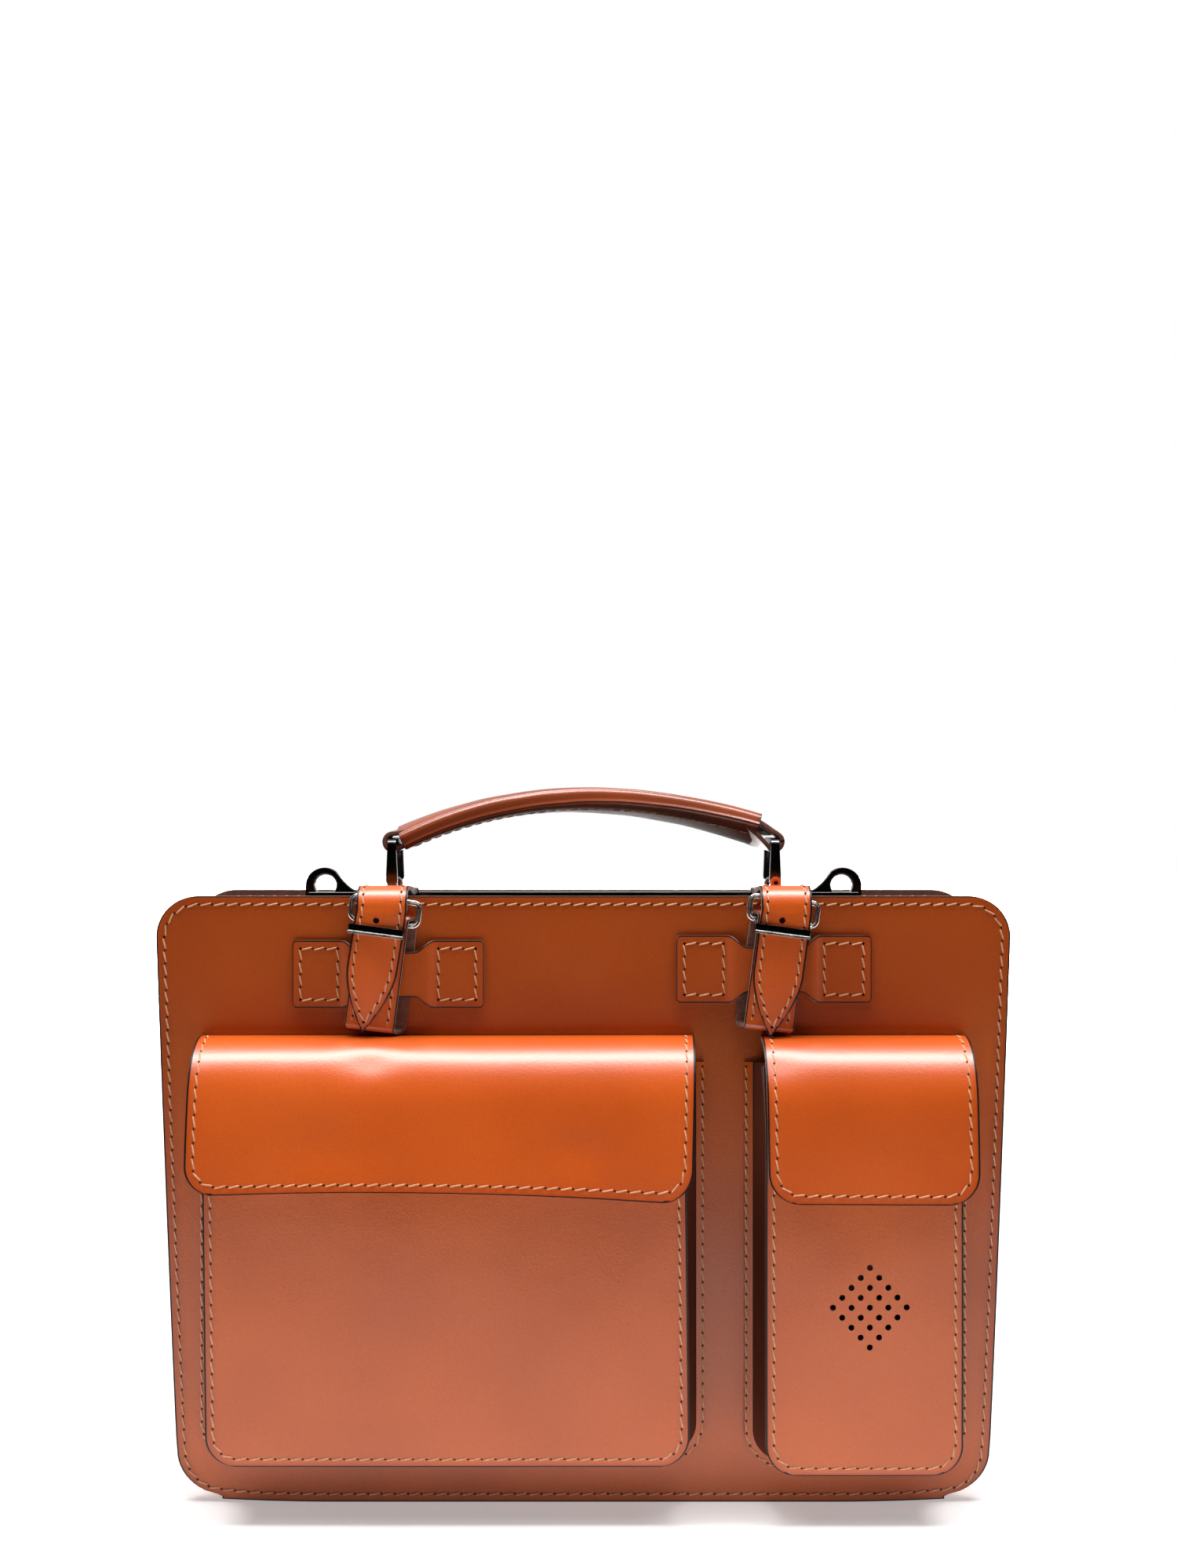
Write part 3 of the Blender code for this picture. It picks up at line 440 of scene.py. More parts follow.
def prism(name, outlines, thickness, rounding, location, rotation=(math.pi / 2, 0, 0)):
    """Flat outlines made thick, with rounded edges; later outlines are holes."""
    curve = bpy.data.curves.new(name, "CURVE")
    curve.dimensions = "2D"
    curve.fill_mode = "BOTH"
    curve.extrude = thickness / 2
    for outline in outlines:
        spline = curve.splines.new("POLY")
        spline.points.add(len(outline) - 1)
        for point, (x, y) in zip(spline.points, outline):
            point.co = (x, y, 0, 1)
        spline.use_cyclic_u = True
    shape = bpy.data.objects.new(name + "_outline", curve)
    bpy.context.scene.collection.objects.link(shape)
    bpy.context.view_layer.update()
    evaluated = shape.evaluated_get(bpy.context.evaluated_depsgraph_get())
    mesh = bpy.data.meshes.new_from_object(evaluated)
    bpy.data.objects.remove(shape, do_unlink=True)
    bm = bmesh.new()
    bm.from_mesh(mesh)
    bmesh.ops.remove_doubles(bm, verts=bm.verts, dist=1e-6)
    bm.to_mesh(mesh)
    bm.free()
    mesh.name = name
    turn = Matrix.Translation(location) @ Euler(rotation).to_matrix().to_4x4()
    mesh.transform(turn)
    obj = bpy.data.objects.new(name, mesh)
    round_edges(obj, rounding, 3)
    return apply_modifiers(obj)


def tube(name, points, radius, cyclic=False, sides=10):
    """A round wire through points, swept with a steady frame."""
    bm = bmesh.new()
    count = len(points)
    points = [Vector(point) for point in points]
    rings = []
    side = None
    for index, point in enumerate(points):
        after = points[(index + 1) % count] if cyclic or index + 1 < count else point
        before = points[index - 1] if cyclic or index > 0 else point
        along = (after - before).normalized()
        if side is None:
            side = along.orthogonal().normalized()
        side = (side - along * side.dot(along)).normalized()
        up = along.cross(side)
        ring = []
        for step in range(sides):
            angle = 2 * math.pi * step / sides
            offset = side * math.cos(angle) + up * math.sin(angle)
            ring.append(bm.verts.new(point + offset * radius))
        rings.append(ring)
    pairs = list(zip(rings, rings[1:]))
    if cyclic:
        shift = min(range(sides), key=lambda s: (rings[-1][0].co - rings[0][s].co).length)
        pairs.append((rings[-1], rings[0][shift:] + rings[0][:shift]))
    else:
        bm.faces.new(rings[0])
        bm.faces.new(rings[-1])
    skin(bm, pairs)
    bmesh.ops.recalc_face_normals(bm, faces=bm.faces)
    return mesh_object(name, bm, 60)


# ---------------------------------------------------------------- stitching

THREAD_RADIUS = 0.34 * MM
STITCH_PITCH = 5.9 * MM


def resample(points, pitch):
    """Points at an even spacing near pitch along a path."""
    points = [Vector(point) for point in points]
    lengths = [0.0]
    for a, b in zip(points, points[1:]):
        lengths.append(lengths[-1] + (b - a).length)
    count = max(int(round(lengths[-1] / pitch)), 1)
    result = []
    segment = 0
    for step in range(count + 1):
        target = lengths[-1] * step / count
        while segment < len(points) - 2 and lengths[segment + 1] < target:
            segment += 1
        span = lengths[segment + 1] - lengths[segment]
        share = (target - lengths[segment]) / span if span else 0
        result.append(points[segment].lerp(points[segment + 1], share))
    return result


def add_stitch(bm, start, end, out, slant):
    """One slanted stitch between two needle holes, its ends dipping into the leather."""
    along = end - start
    side = along.cross(out).normalized()
    sides = 6
    rings = []
    for share, lift, size in ((0.1, -0.25, 0.55), (0.22, 0.25, 0.95), (0.5, 0.5, 1.0),
                              (0.78, 0.25, 0.95), (0.9, -0.25, 0.55)):
        centre = start.lerp(end, share) + out * (lift * THREAD_RADIUS)
        centre += side * (share - 0.5) * slant
        ring = []
        for step in range(sides):
            angle = 2 * math.pi * step / sides
            offset = out * math.cos(angle) * 0.8 + side * math.sin(angle) * 1.15
            ring.append(bm.verts.new(centre + offset * THREAD_RADIUS * size))
        rings.append(ring)
    skin(bm, zip(rings[1:], rings))
    bm.faces.new(list(reversed(rings[0])))
    bm.faces.new(rings[-1])


def add_needle_hole(bm, centre, out, along):
    """Painted shade: a small dark oval on the leather where the thread goes in, for the shadow in
    the hole.
    """
    side = along.cross(out).normalized()
    along = out.cross(side).normalized()
    rim = []
    sides = 8
    for step in range(sides):
        angle = 2 * math.pi * step / sides
        offset = along * math.cos(angle) * 0.62 * MM + side * math.sin(angle) * 0.5 * MM
        rim.append(bm.verts.new(centre + offset + out * 0.04 * MM))
    face = bm.faces.new(rim)
    face.normal_update()
    if face.normal.dot(out) < 0:
        face.normal_flip()
    face.material_index = 1


def stitches(name, paths, out_at, body=None, blend=None, pitch=STITCH_PITCH, slant=-1.3 * MM):
    """Rows of stitching along paths that already lie on the leather's face."""
    bm = bmesh.new()
    for path in paths:
        holes = resample(path, pitch)
        for start, end in zip(holes, holes[1:]):
            out = out_at((start + end) / 2)
            add_stitch(bm, start, end, out, slant)
            add_needle_hole(bm, start, out, end - start)
        add_needle_hole(bm, holes[-1], out_at(holes[-1]), holes[-1] - holes[-2])
    obj = mesh_object(name, bm, 80)
    return place_piece(obj, (THREAD, HOLE), (), body, blend)


def forward(_):
    return Vector((0, -1, 0))


def backward(_):
    return Vector((0, 1, 0))


# ---------------------------------------------------------------- outlines

def arc(centre_x, centre_z, radius, start, end, steps):
    """Points along a circle from one angle to another, in degrees."""
    return [(centre_x + radius * math.cos(angle), centre_z + radius * math.sin(angle))
            for angle in spread(math.radians(start), math.radians(end), steps)]


def side_half(z):
    """Half width of a panel at height z, before its corners are rounded."""
    share = unit((z - BOTTOM_CORNER) / (PANEL_TOP - BOTTOM_CORNER))
    return BOTTOM_HALF + (TOP_HALF + 0.4 * MM - BOTTOM_HALF) * share ** 0.9


def bottom_height(x):
    beyond = max(abs(x) - LEVEL_HALF, 0) / (BOTTOM_HALF - LEVEL_HALF)
    return CORNER_LIFT * min(beyond, 1) ** 2


def panel_path(inset, top=None):
    """The panel's edge moved in by inset, as X and Z: a loop, or a U when top is given."""
    radius = max(BOTTOM_CORNER - inset, 5 * MM)
    corner_x = BOTTOM_HALF - inset - radius
    corner_z = CORNER_LIFT * 0.8 + inset + radius
    ceiling = top if top is not None else PANEL_TOP - TOP_CORNER
    right = [(x, inset) for x in spread(0, LEVEL_HALF, 4)]
    right += [(x * MM, bottom_height(x * MM) + inset) for x in (122, 134, 146)]
    right += arc(corner_x, corner_z, radius, -88, 0, 12)
    right += [(panel_span(z) - inset, z) for z in spread(corner_z, ceiling, 16)[1:]]
    left = [(-x, z) for x, z in reversed(right[1:])]
    outline = left + right
    if top is not None:
        return outline
    radius = TOP_CORNER - inset
    half = side_half(PANEL_TOP - TOP_CORNER) - inset
    outline += arc(half - radius, PANEL_TOP - TOP_CORNER, radius, 0, 90, 12)[1:]
    outline += arc(radius - half, PANEL_TOP - TOP_CORNER, radius, 90, 180, 12)
    return outline + outline[:1]


def panel_span(z):
    """Half width of the panel at height z, with its rounded corners."""
    half = side_half(z)
    top_centre = PANEL_TOP - TOP_CORNER
    if z > top_centre:
        drop = TOP_CORNER - math.sqrt(max(TOP_CORNER ** 2 - (z - top_centre) ** 2, 0))
        half = side_half(top_centre) - drop
    low_centre = CORNER_LIFT * 0.8 + BOTTOM_CORNER
    if z < low_centre:
        below = min(low_centre - z, BOTTOM_CORNER)
        half = BOTTOM_HALF - (BOTTOM_CORNER - math.sqrt(BOTTOM_CORNER ** 2 - below ** 2))
    return half


# ---------------------------------------------------------------- panels, gussets, divider

def panel_dent(x, z, seed):
    """How far a panel's face moves from flat: stiff at the sewn edges, softer inside."""
    inside = min(side_half(z) - abs(x), PANEL_TOP - z, z) / (30 * MM)
    return 0.55 * MM * wave(x, z, seed) * unit(inside)


def paint_top_shade(sheet):
    """Painted shade: deepen a sheet's colour near the top of the bag, where the upper body gets
    less light.
    """
    tone = sheet.data.attributes["edge"].data
    for vertex, value in zip(sheet.data.vertices, tone):
        value.value = max(value.value, 0.55 * smooth((vertex.co.z - TOP_SHADE_FROM) / TOP_SHADE_OVER))


def build_panel(name, outer_y, outward, seed, lower=0.0):
    """A panel with its two rows of stitches; lower drops its top edge."""
    middle = outer_y - outward * PANEL_THICK / 2
    low = BOTTOM_CORNER * 1.1
    high = PANEL_TOP - TOP_CORNER
    quarter = spread(0, math.pi / 2, 14)
    heights = [low * (1 - math.cos(angle)) for angle in quarter[:-1]]
    heights += spread(low, high, 34)[:-1]
    heights += [high + TOP_CORNER * math.sin(angle) for angle in quarter]
    rows = []
    for z in heights:
        half = panel_span(z)
        row = []
        for x in spread(-half, half, 48):
            lift = bottom_height(x) * max(0, 1 - z / (30 * MM))
            drop = lower * (z / PANEL_TOP) ** 8
            row.append((x, middle + outward * panel_dent(x, z, seed), z + lift - drop))
        rows.append(row)
    panel = leather_sheet(name, rows, PANEL_THICK - 0.1 * MM, 0.7 * MM, (0, outward, 0))
    # Painted shade near the top of the panel.
    paint_top_shade(panel)
    place_piece(panel, BODY_SHEET, (name,), "bag")
    rim = [(x, z - lower * (z / PANEL_TOP) ** 8) for x, z in panel_path(3.6 * MM)]
    outside, inside = (backward, forward) if outward > 0 else (forward, backward)
    path = [(x, outer_y + outward * 0.02 * MM, z) for x, z in rim]
    stitches(f"{name}_stitches", [path], outside, "bag")
    inner_y = outer_y - outward * (PANEL_THICK - 0.05 * MM)
    path = [(x, inner_y, z) for x, z in rim if z > INNER_STITCH_FOOT]
    stitches(f"{name}_inner_stitches", [path], inside, "bag")


def build_gusset(name, panel_face, divider_face, towards):
    """The soft U between a panel and the divider: flanges sewn outwards, middle folded in."""
    thick = 1.6 * MM
    clear = towards * (SHEET_GAP + thick / 2 + 0.05 * MM)
    start = panel_face + clear
    end = divider_face - clear
    flange = (1.8 * MM, 5 * MM, 7.6 * MM)
    section = [(inset, start) for inset in flange]
    for share in spread(0, 1, 12):
        fold = 2.6 * MM * (1 - abs(2 * share - 1) ** 1.4)
        section.append((8.6 * MM + fold, start + (end - start) * (0.03 + 0.94 * share)))
    section += [(inset, end) for inset in reversed(flange)]
    rows = []
    for inset, y in section:
        row = []
        for x, z in panel_path(inset, GUSSET_TOP):
            crease = 0.5 * MM * wave(z + x, y, 3.0, 0.035) if 8 * MM < inset else 0
            row.append((x - math.copysign(crease, x), y, z))
        rows.append(row)
    gusset = leather_sheet(name, rows, thick, 0.0, (0, towards, 0), probe=0.02)
    place_piece(gusset, BODY_SHEET, (name,), "bag")


def build_body():
    build_panel("front_panel", FRONT_FACE, -1, 1.0)
    build_panel("back_panel", BACK_FACE, 1, 7.0, lower=2.3 * MM)
    divider_low, divider_high = corners("divider_panel")
    build_gusset("front_gusset", FRONT_FACE + PANEL_THICK, divider_low.y, 1)
    build_gusset("back_gusset", BACK_FACE - PANEL_THICK, divider_high.y, -1)


# ---------------------------------------------------------------- top bar

def build_top_bar():
    """The channel over the divider's edge, with a lug at each end."""
    low, high = corners("top_bar")
    divider_low, divider_high = corners("divider_panel")
    bar_top = RING_FOOT.z - 3.6 * MM
    outer = (high.y - low.y) / 2
    inner = (divider_high.y - divider_low.y) / 2 + SHEET_GAP
    cap = bar_top - 2.4 * MM
    channel = [(-outer, low.z), (-inner, low.z), (-inner, cap), (inner, cap), (inner, low.z),
               (outer, low.z), (outer, bar_top), (-outer, bar_top)]
    bar = prism("top_bar_channel", [channel], 256 * MM, 0.5 * MM, (0, MIDDLE, 0),
                (math.pi / 2, 0, math.pi / 2))
    place_piece(bar, (GUNMETAL,), ("top_bar",), "bag")
    for label, side in (("left", -1), ("right", 1)):
        build_lug(label, side, bar_top, high)


def build_lug(label, side, bar_top, high):
    """A teardrop plate with a bright eyelet for a shoulder strap."""
    radius = 8.6 * MM
    centre_x = high.x - radius
    centre_z = high.z - radius
    eye_x = centre_x - 0.7 * MM
    eye_z = centre_z + 0.6 * MM
    foot = bar_top - 3 * MM
    outline = [(centre_x + radius, foot)] + arc(centre_x, centre_z, radius, 0, 128, 26)
    start_x, start_z = outline[-1]
    end_x = centre_x - 16.6 * MM
    for share in spread(0, 1, 14)[1:]:
        outline.append((start_x + (end_x - start_x) * share,
                        bar_top + (start_z - bar_top) * (1 - share) ** 1.7))
    outline.append((end_x - 3 * MM, foot))
    eye = arc(eye_x, eye_z, 5.3 * MM, 0, 360, 40)[:-1]
    outlines = [[(side * x, z) for x, z in line] for line in (outline, eye)]
    lug = prism(f"strap_lug_{label}", outlines, 3.8 * MM, 0.7 * MM, (0, MIDDLE, 0))
    place_piece(lug, (GUNMETAL,), (), "bag")
    bm = bmesh.new()
    rings = []
    for angle in spread(0, math.pi, 16):
        reach = 5.55 * MM - 0.75 * MM * math.sin(angle)
        y = MIDDLE - 2.15 * MM * math.cos(angle)
        rings.append([bm.verts.new((x, y, z))
                      for x, z in arc(side * eye_x, eye_z, reach, 0, 360, 48)[:-1]])
    skin(bm, zip(rings, rings[1:] + rings[:1]))
    bmesh.ops.recalc_face_normals(bm, faces=bm.faces)
    eyelet = mesh_object(f"eyelet_{label}", bm, 70)
    place_piece(eyelet, (NICKEL,), (), "bag")


# ---------------------------------------------------------------- handle

RING_FOOT = Vector(JOINTS["left_ring_tilt"]["pos_m"])
RING_HEAD = Vector(JOINTS["handle_sway"]["pos_m"])
APEX_X = -2 * MM
APEX_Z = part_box("handle_sleeve")[1][2] - 5.3 * MM
SLEEVE_LEFT = -84.5 * MM
SLEEVE_RIGHT = 80.3 * MM
HANDLE_STRAP_COLUMNS = (-10.6, -9.5, -6, -2, 2, 6, 9.5, 10.6)


def arch(x):
    """Height of the middle of the handle at x."""
    along = x - APEX_X
    return APEX_Z - 2.32 * along ** 2 + 3.4 * along ** 3


def arch_frame(x):
    """Middle of the handle at x, with its across and up directions, twisted along the grip."""
    slope = (arch(x + MM) - arch(x - MM)) / (2 * MM)
    along = Vector((1, 0, slope)).normalized()
    share = (x - SLEEVE_LEFT) / (SLEEVE_RIGHT - SLEEVE_LEFT)
    roll = math.radians(-8 + 30 * share)
    up = Vector((-along.z, 0, along.x))
    across = Vector((0, 1, 0))
    turned_up = up * math.cos(roll) + across * math.sin(roll)
    turned_across = across * math.cos(roll) - up * math.sin(roll)
    return Vector((x, MIDDLE, arch(x))), turned_across, turned_up


def build_sleeve():
    """The folded grip: a flattened roll, a little fuller in the middle, open at its ends."""
    rows = []
    for share in spread(0, 1, 60):
        x = SLEEVE_LEFT + (SLEEVE_RIGHT - SLEEVE_LEFT) * share
        centre, across, up = arch_frame(x)
        full = 1 + 0.05 * math.sin(math.pi * share)
        row = []
        for angle in spread(0, 2 * math.pi, 96)[:-1]:
            c, s = math.cos(angle), math.sin(angle)
            wide = 11.8 * MM * math.copysign(abs(c) ** 0.7, c)
            tall = 4.5 * MM * full * math.copysign(abs(s) ** 0.6, s)
            crease = 0.2 * MM * wave(x, angle * 0.01, 5.0, 0.012)
            fold = 0.4 * MM * sum(math.exp(-((angle - math.pi * line) / 0.05) ** 2)
                                  for line in (0.8, 1.06))
            row.append(centre + across * (wide * (1 + fold / (11 * MM)))
                       + up * (tall * (1 + fold / (9 * MM)) + crease))
        rows.append(row)
    sleeve = leather_sheet("handle_sleeve", rows, 1.5 * MM, 0.3 * MM, (0, 1, 0), closed=True)
    # Painted shade: grip faces that look down take the darker underside copy of the leather.
    for face in sleeve.data.polygons:
        up = arch_frame(face.center.x)[2]
        if face.material_index == 0 and face.normal.dot(up) < -0.75:
            face.material_index = 3
    sleeve.data.materials.append(None)
    place_piece(sleeve, (*GRIP_SHEET, UNDERSIDE_SHADE), ("handle_sleeve",), "handle")
    under = []
    for x in spread(SLEEVE_LEFT + 3 * MM, SLEEVE_RIGHT - 3 * MM, 40):
        centre, across, up = arch_frame(x)
        under.append(centre - up * 5.15 * MM - across * 6 * MM)
    stitches("sleeve_stitches", [under], sleeve_under, "handle", pitch=5 * MM)


def sleeve_under(point):
    return -arch_frame(point.x)[2]


def build_handle_strap():
    """The black-edged strap: it runs through the sleeve and turns round each ring."""
    for label, side, inner in (("left", -1, SLEEVE_LEFT + 9 * MM),
                               ("right", 1, SLEEVE_RIGHT - 9 * MM)):
        centre, across, up = arch_frame(inner)
        head = Vector((side * abs(RING_HEAD.x), MIDDLE, RING_HEAD.z))
        reach = 3.9 * MM
        outward = (head - centre).normalized()
        normal = Vector((-outward.z, 0, outward.x)) * (1 if side > 0 else -1)
        path = [centre + up * 1.5 * MM, centre.lerp(head, 0.3) + up * 2.4 * MM]
        path += [head + outward * x + normal * z for x, z in arc(0, 0, reach, 115, -115, 18)]
        path += [centre.lerp(head, 0.3) - up * 2.4 * MM, centre - up * 1.5 * MM]
        rows = []
        for point in resample(path, 0.9 * MM):
            share = unit((point - centre).dot(outward) / (head - centre).length)
            level = across.lerp(Vector((0, 1, 0)), share ** 2).normalized()
            rows.append([point + level * y * MM for y in HANDLE_STRAP_COLUMNS])
        strap = leather_sheet(f"handle_strap_{label}", rows, 2.1 * MM, 0.35 * MM, (side, 0, 0))
        replaced = ("handle_strap",) if label == "left" else ()
        place_piece(strap, GRIP_SHEET, replaced, "handle")


def build_handle_ring(label, side):
    """A tall flat-sided ring: its two legs broaden towards the foot."""
    low, high = corners(f"handle_ring_{label}")
    half = (high.y - low.y) / 2
    outer = rounded_box(half, low.z + 0.5 * MM, high.z, 3.4 * MM, 7)
    window = rounded_box(half - 3.1 * MM, low.z + 2.7 * MM, high.z - 2.9 * MM, 1.5 * MM, 5)
    middle_x = side * abs(RING_FOOT.x)
    ring = prism(f"handle_ring_{label}_plate", [outer, window], 4.2 * MM, 0.9 * MM,
                 (middle_x, MIDDLE, 0), (math.pi / 2, 0, math.pi / 2))
    for vertex in ring.data.vertices:
        height = vertex.co.z - low.z
        if height > 3 * MM:
            broad = 1.32 - 0.45 * height / (high.z - low.z)
            vertex.co.x = middle_x + (vertex.co.x - middle_x) * broad
    place_piece(ring, (GUNMETAL,), (f"handle_ring_{label}",),
                f"{label}_handle_ring")


def rounded_box(half, low, high, radius, steps):
    """The outline of a box with round corners, as wide as two halves."""
    points = []
    for corner_x, corner_z, start in ((half - radius, low + radius, -90),
                                      (half - radius, high - radius, 0),
                                      (radius - half, high - radius, 90),
                                      (radius - half, low + radius, 180)):
        points += arc(corner_x, corner_z, radius, start, start + 90, steps)
    return points


def build_staple(label, side):
    """Two chrome arches side by side that hold the ring's foot."""
    low, high = corners(f"ring_staple_{label}")
    wire = 0.95 * MM
    radius = (high.x - low.x) / 2 - 0.8 * MM
    centre_x = side * abs(RING_FOOT.x)
    for number, offset in enumerate((-1.6 * MM, 1.6 * MM)):
        line = arc(centre_x, RING_FOOT.z, radius, 0, 180, 18)
        line = [(centre_x + radius, low.z + 2 * MM), *line, (centre_x - radius, low.z + 2 * MM)]
        points = [(x, MIDDLE + offset, z) for x, z in line]
        staple = tube(f"ring_staple_{label}_{number}", points, wire, sides=14)
        replaced = (f"ring_staple_{label}",) if number == 0 else ()
        place_piece(staple, (NICKEL,), replaced, "bag")


def build_tab():
    """A small punched end of strap that stands in front of the right handle ring."""
    half = 2.5 * MM
    foot = RING_FOOT.z - 2.6 * MM
    head = RING_FOOT.z + 4.2 * MM
    outline = [(half, foot)] + arc(0, head - half, half, 0, 180, 12) + [(-half, foot)]
    hole = arc(0, head - half - 0.2 * MM, 1.1 * MM, 0, 360, 20)[:-1]
    tab = prism("strap_end_tab", [outline, hole], 1.4 * MM, 0.25 * MM,
                (abs(RING_FOOT.x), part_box("handle_ring_right")[0][1] - 1.4 * MM, 0))
    place_piece(tab, (FLAP,), (), "bag")


def build_handle():
    build_sleeve()
    build_tab()
    build_handle_strap()
    for label, side in (("left", -1), ("right", 1)):
        build_handle_ring(label, side)
        build_staple(label, side)


# ---------------------------------------------------------------- strap closures

LEAN = math.radians(7.5)
STRAP_HALF = 11 * MM
TIP_LENGTH = 27 * MM
TIP_DROP = 1.7 * MM
BEND = 9 * MM


class Closure:
    """Places of one strap closure, taken from its nodes."""

    def __init__(self, label):
        self.label = label
        self.hinge = Vector(JOINTS[f"{label}_strap_lift"]["pos_m"])
        self.buckle = Vector(JOINTS[f"{label}_buckle_ring_tip"]["pos_m"])
        low, high = corners(f"strap_patch_{label}")
        self.patch = (low + high) / 2
        self.patch_half = (high.x - low.x) / 2
        low, high = corners(f"closure_strap_{label}")
        self.tip_z = low.z - TIP_DROP
        self.crest_z = high.z - 1 * MM
        self.front_y = low.y + 1 * MM
        self.bend_y = self.front_y + BEND
        self.bend_z = self.crest_z - BEND
        self.body = f"{label}_strap"
        self.lean = LEAN + (math.radians(1.7) if label == "left" else 0)
        self.shift = -1.7 * MM if label == "left" else 0
        self.yaw = math.radians(-5 if label == "left" else 3)

    def middle(self, z):
        return self.hinge.x + self.shift + (z - self.hinge.z) * math.tan(self.lean)


def tongue_path(closure):
    """Middle line of the whole strap: Y, Z, half width, from its root to its tip."""
    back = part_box(f"strap_anchor_{closure.label}")[1][1]
    z0 = closure.hinge.z
    root = back - 6 * MM
    path = []
    for angle in spread(0, math.pi / 2, 5):
        path.append((back + (root - back) * math.sin(angle), z0,
                     STRAP_HALF * (0.72 + 0.28 * math.sin(angle)), 0))
    for y in spread(root, closure.bend_y, 24)[1:]:
        ease = smooth((closure.hinge.y - y) / (closure.hinge.y - closure.bend_y))
        path.append((y, z0 + (closure.crest_z - z0) * ease, STRAP_HALF, 0))
    path += [(y, z, STRAP_HALF, 0)
             for y, z in arc(closure.bend_y, closure.bend_z, BEND, 90, 180, 12)[1:]]
    length = closure.bend_z - closure.tip_z
    for down in spread(0, length, 44)[1:]:
        rise = min((length - down) / TIP_LENGTH, 1)
        half = (STRAP_HALF - 0.3 * MM * down / length) * (1 - (1 - rise) ** 1.65)
        hug = 1.1 * MM * max(0, down / length - 0.35) ** 1.5
        path.append((closure.front_y + hug, closure.bend_z - down, max(half, 0.25 * MM), down))
    return path


def build_tongue(closure):
    """The whole strap as one piece: its root rides the bag, the rest its lifting body."""
    top_x = closure.middle(closure.hinge.z)
    tip_stop = closure.tip_z + 5 * MM
    inset = 2.7 * MM
    rows = []
    edges = ([], [])
    for y, z, half, down in tongue_path(closure):
        middle = top_x - down * math.tan(closure.lean)
        turn = min(down / (10 * MM), 1)

        def place(offset, crown=0.0):
            tilt = -offset * math.sin(closure.lean) * turn
            swing = -offset * math.sin(closure.yaw) * turn
            if down > 0:
                return Vector((middle + offset, y - crown + swing, z + tilt))
            return Vector((middle + offset, y, z + 0.3 * crown))

        full = 0.35 * MM * min(half / STRAP_HALF, 1)
        rows.append([place(across * half, full * (1 - across ** 2))
                     for across in spread(-1, 1, 12)])
        if half > inset + 0.3 * MM and z > tip_stop:
            for side, edge in zip((-1, 1), edges):
                edge.append(place(side * (half - inset)))
    blend = fold_blend(f"{closure.label}_strap_lift", closure.body, 4 * MM)
    name = f"closure_strap_{closure.label}"
    strap = leather_sheet(name, rows, 2 * MM, 0.8 * MM, (0, -1, 0.3))
    prong_x = closure.middle(closure.buckle.z) - 0.6 * MM
    cut_holes(strap, [(prong_x, closure.front_y, closure.buckle.z + 1 * MM)], 1.4 * MM, 24)
    place_piece(strap, FLAP_SHEET,
                (name, f"strap_anchor_{closure.label}"), blend=blend)
    paths = []
    for edge in edges:
        lifted = []
        for before, here, after in zip([edge[0]] + edge, edge, edge[1:] + [edge[-1]]):
            lifted.append(here + strap_out(after - before) * 1.25 * MM)
        paths.append(lifted)
    tip = Vector((top_x - (closure.bend_z - tip_stop) * math.tan(closure.lean),
                  paths[0][-1].y, tip_stop - 0.6 * MM))
    for path in paths:
        path.append(tip)

    def out_at(point):
        if point.z < closure.bend_z:
            return Vector((0, -1, 0))
        if point.y > closure.bend_y:
            return Vector((0, 0, 1))
        return Vector((0, point.y - closure.bend_y, point.z - closure.bend_z)).normalized()

    stitches(f"{name}_stitches", paths, out_at, blend=blend, pitch=5.2 * MM)


def strap_out(along):
    """Outward side of a strap that runs along, seen from outside the bag."""
    out = Vector((1, 0, 0)).cross(along)
    if out.length < 1e-9:
        return Vector((0, -1, 0))
    return -out.normalized() if out.dot(Vector((0, -1, 1))) < 0 else out.normalized()


def build_clip(closure):
    """A flat bar across the tongue, folded round it to a thin plate behind."""
    name = f"strap_clip_{closure.label}"
    low, high = corners(name)
    middle = (low + high) / 2
    middle.x = closure.middle(middle.z)
    depth = (high.y - low.y) / 2 + 0.6 * MM
    outer = rounded_box(12.3 * MM, -depth, depth, 0.8 * MM, 5)
    slot = rounded_box(11.4 * MM, -depth + 0.9 * MM, depth - 0.9 * MM, 0.3 * MM, 3)
    clip = prism(f"{name}_bar", [outer, slot], 4 * MM, 0.35 * MM, middle, (0, LEAN, 0))
    place_piece(clip, (GUNMETAL,), (name,), closure.body)
    face = prism(f"{name}_lip", [rounded_box(12.2 * MM, -0.6 * MM, 0.6 * MM, 0.5 * MM, 5)],
                 0.9 * MM, 0.25 * MM,
                 middle + Vector((-0.2 * MM, -depth - 0.2 * MM, -1.5 * MM)),
                 (math.pi / 2 - 0.45, LEAN, 0))
    place_piece(face, (NICKEL,), (), closure.body)


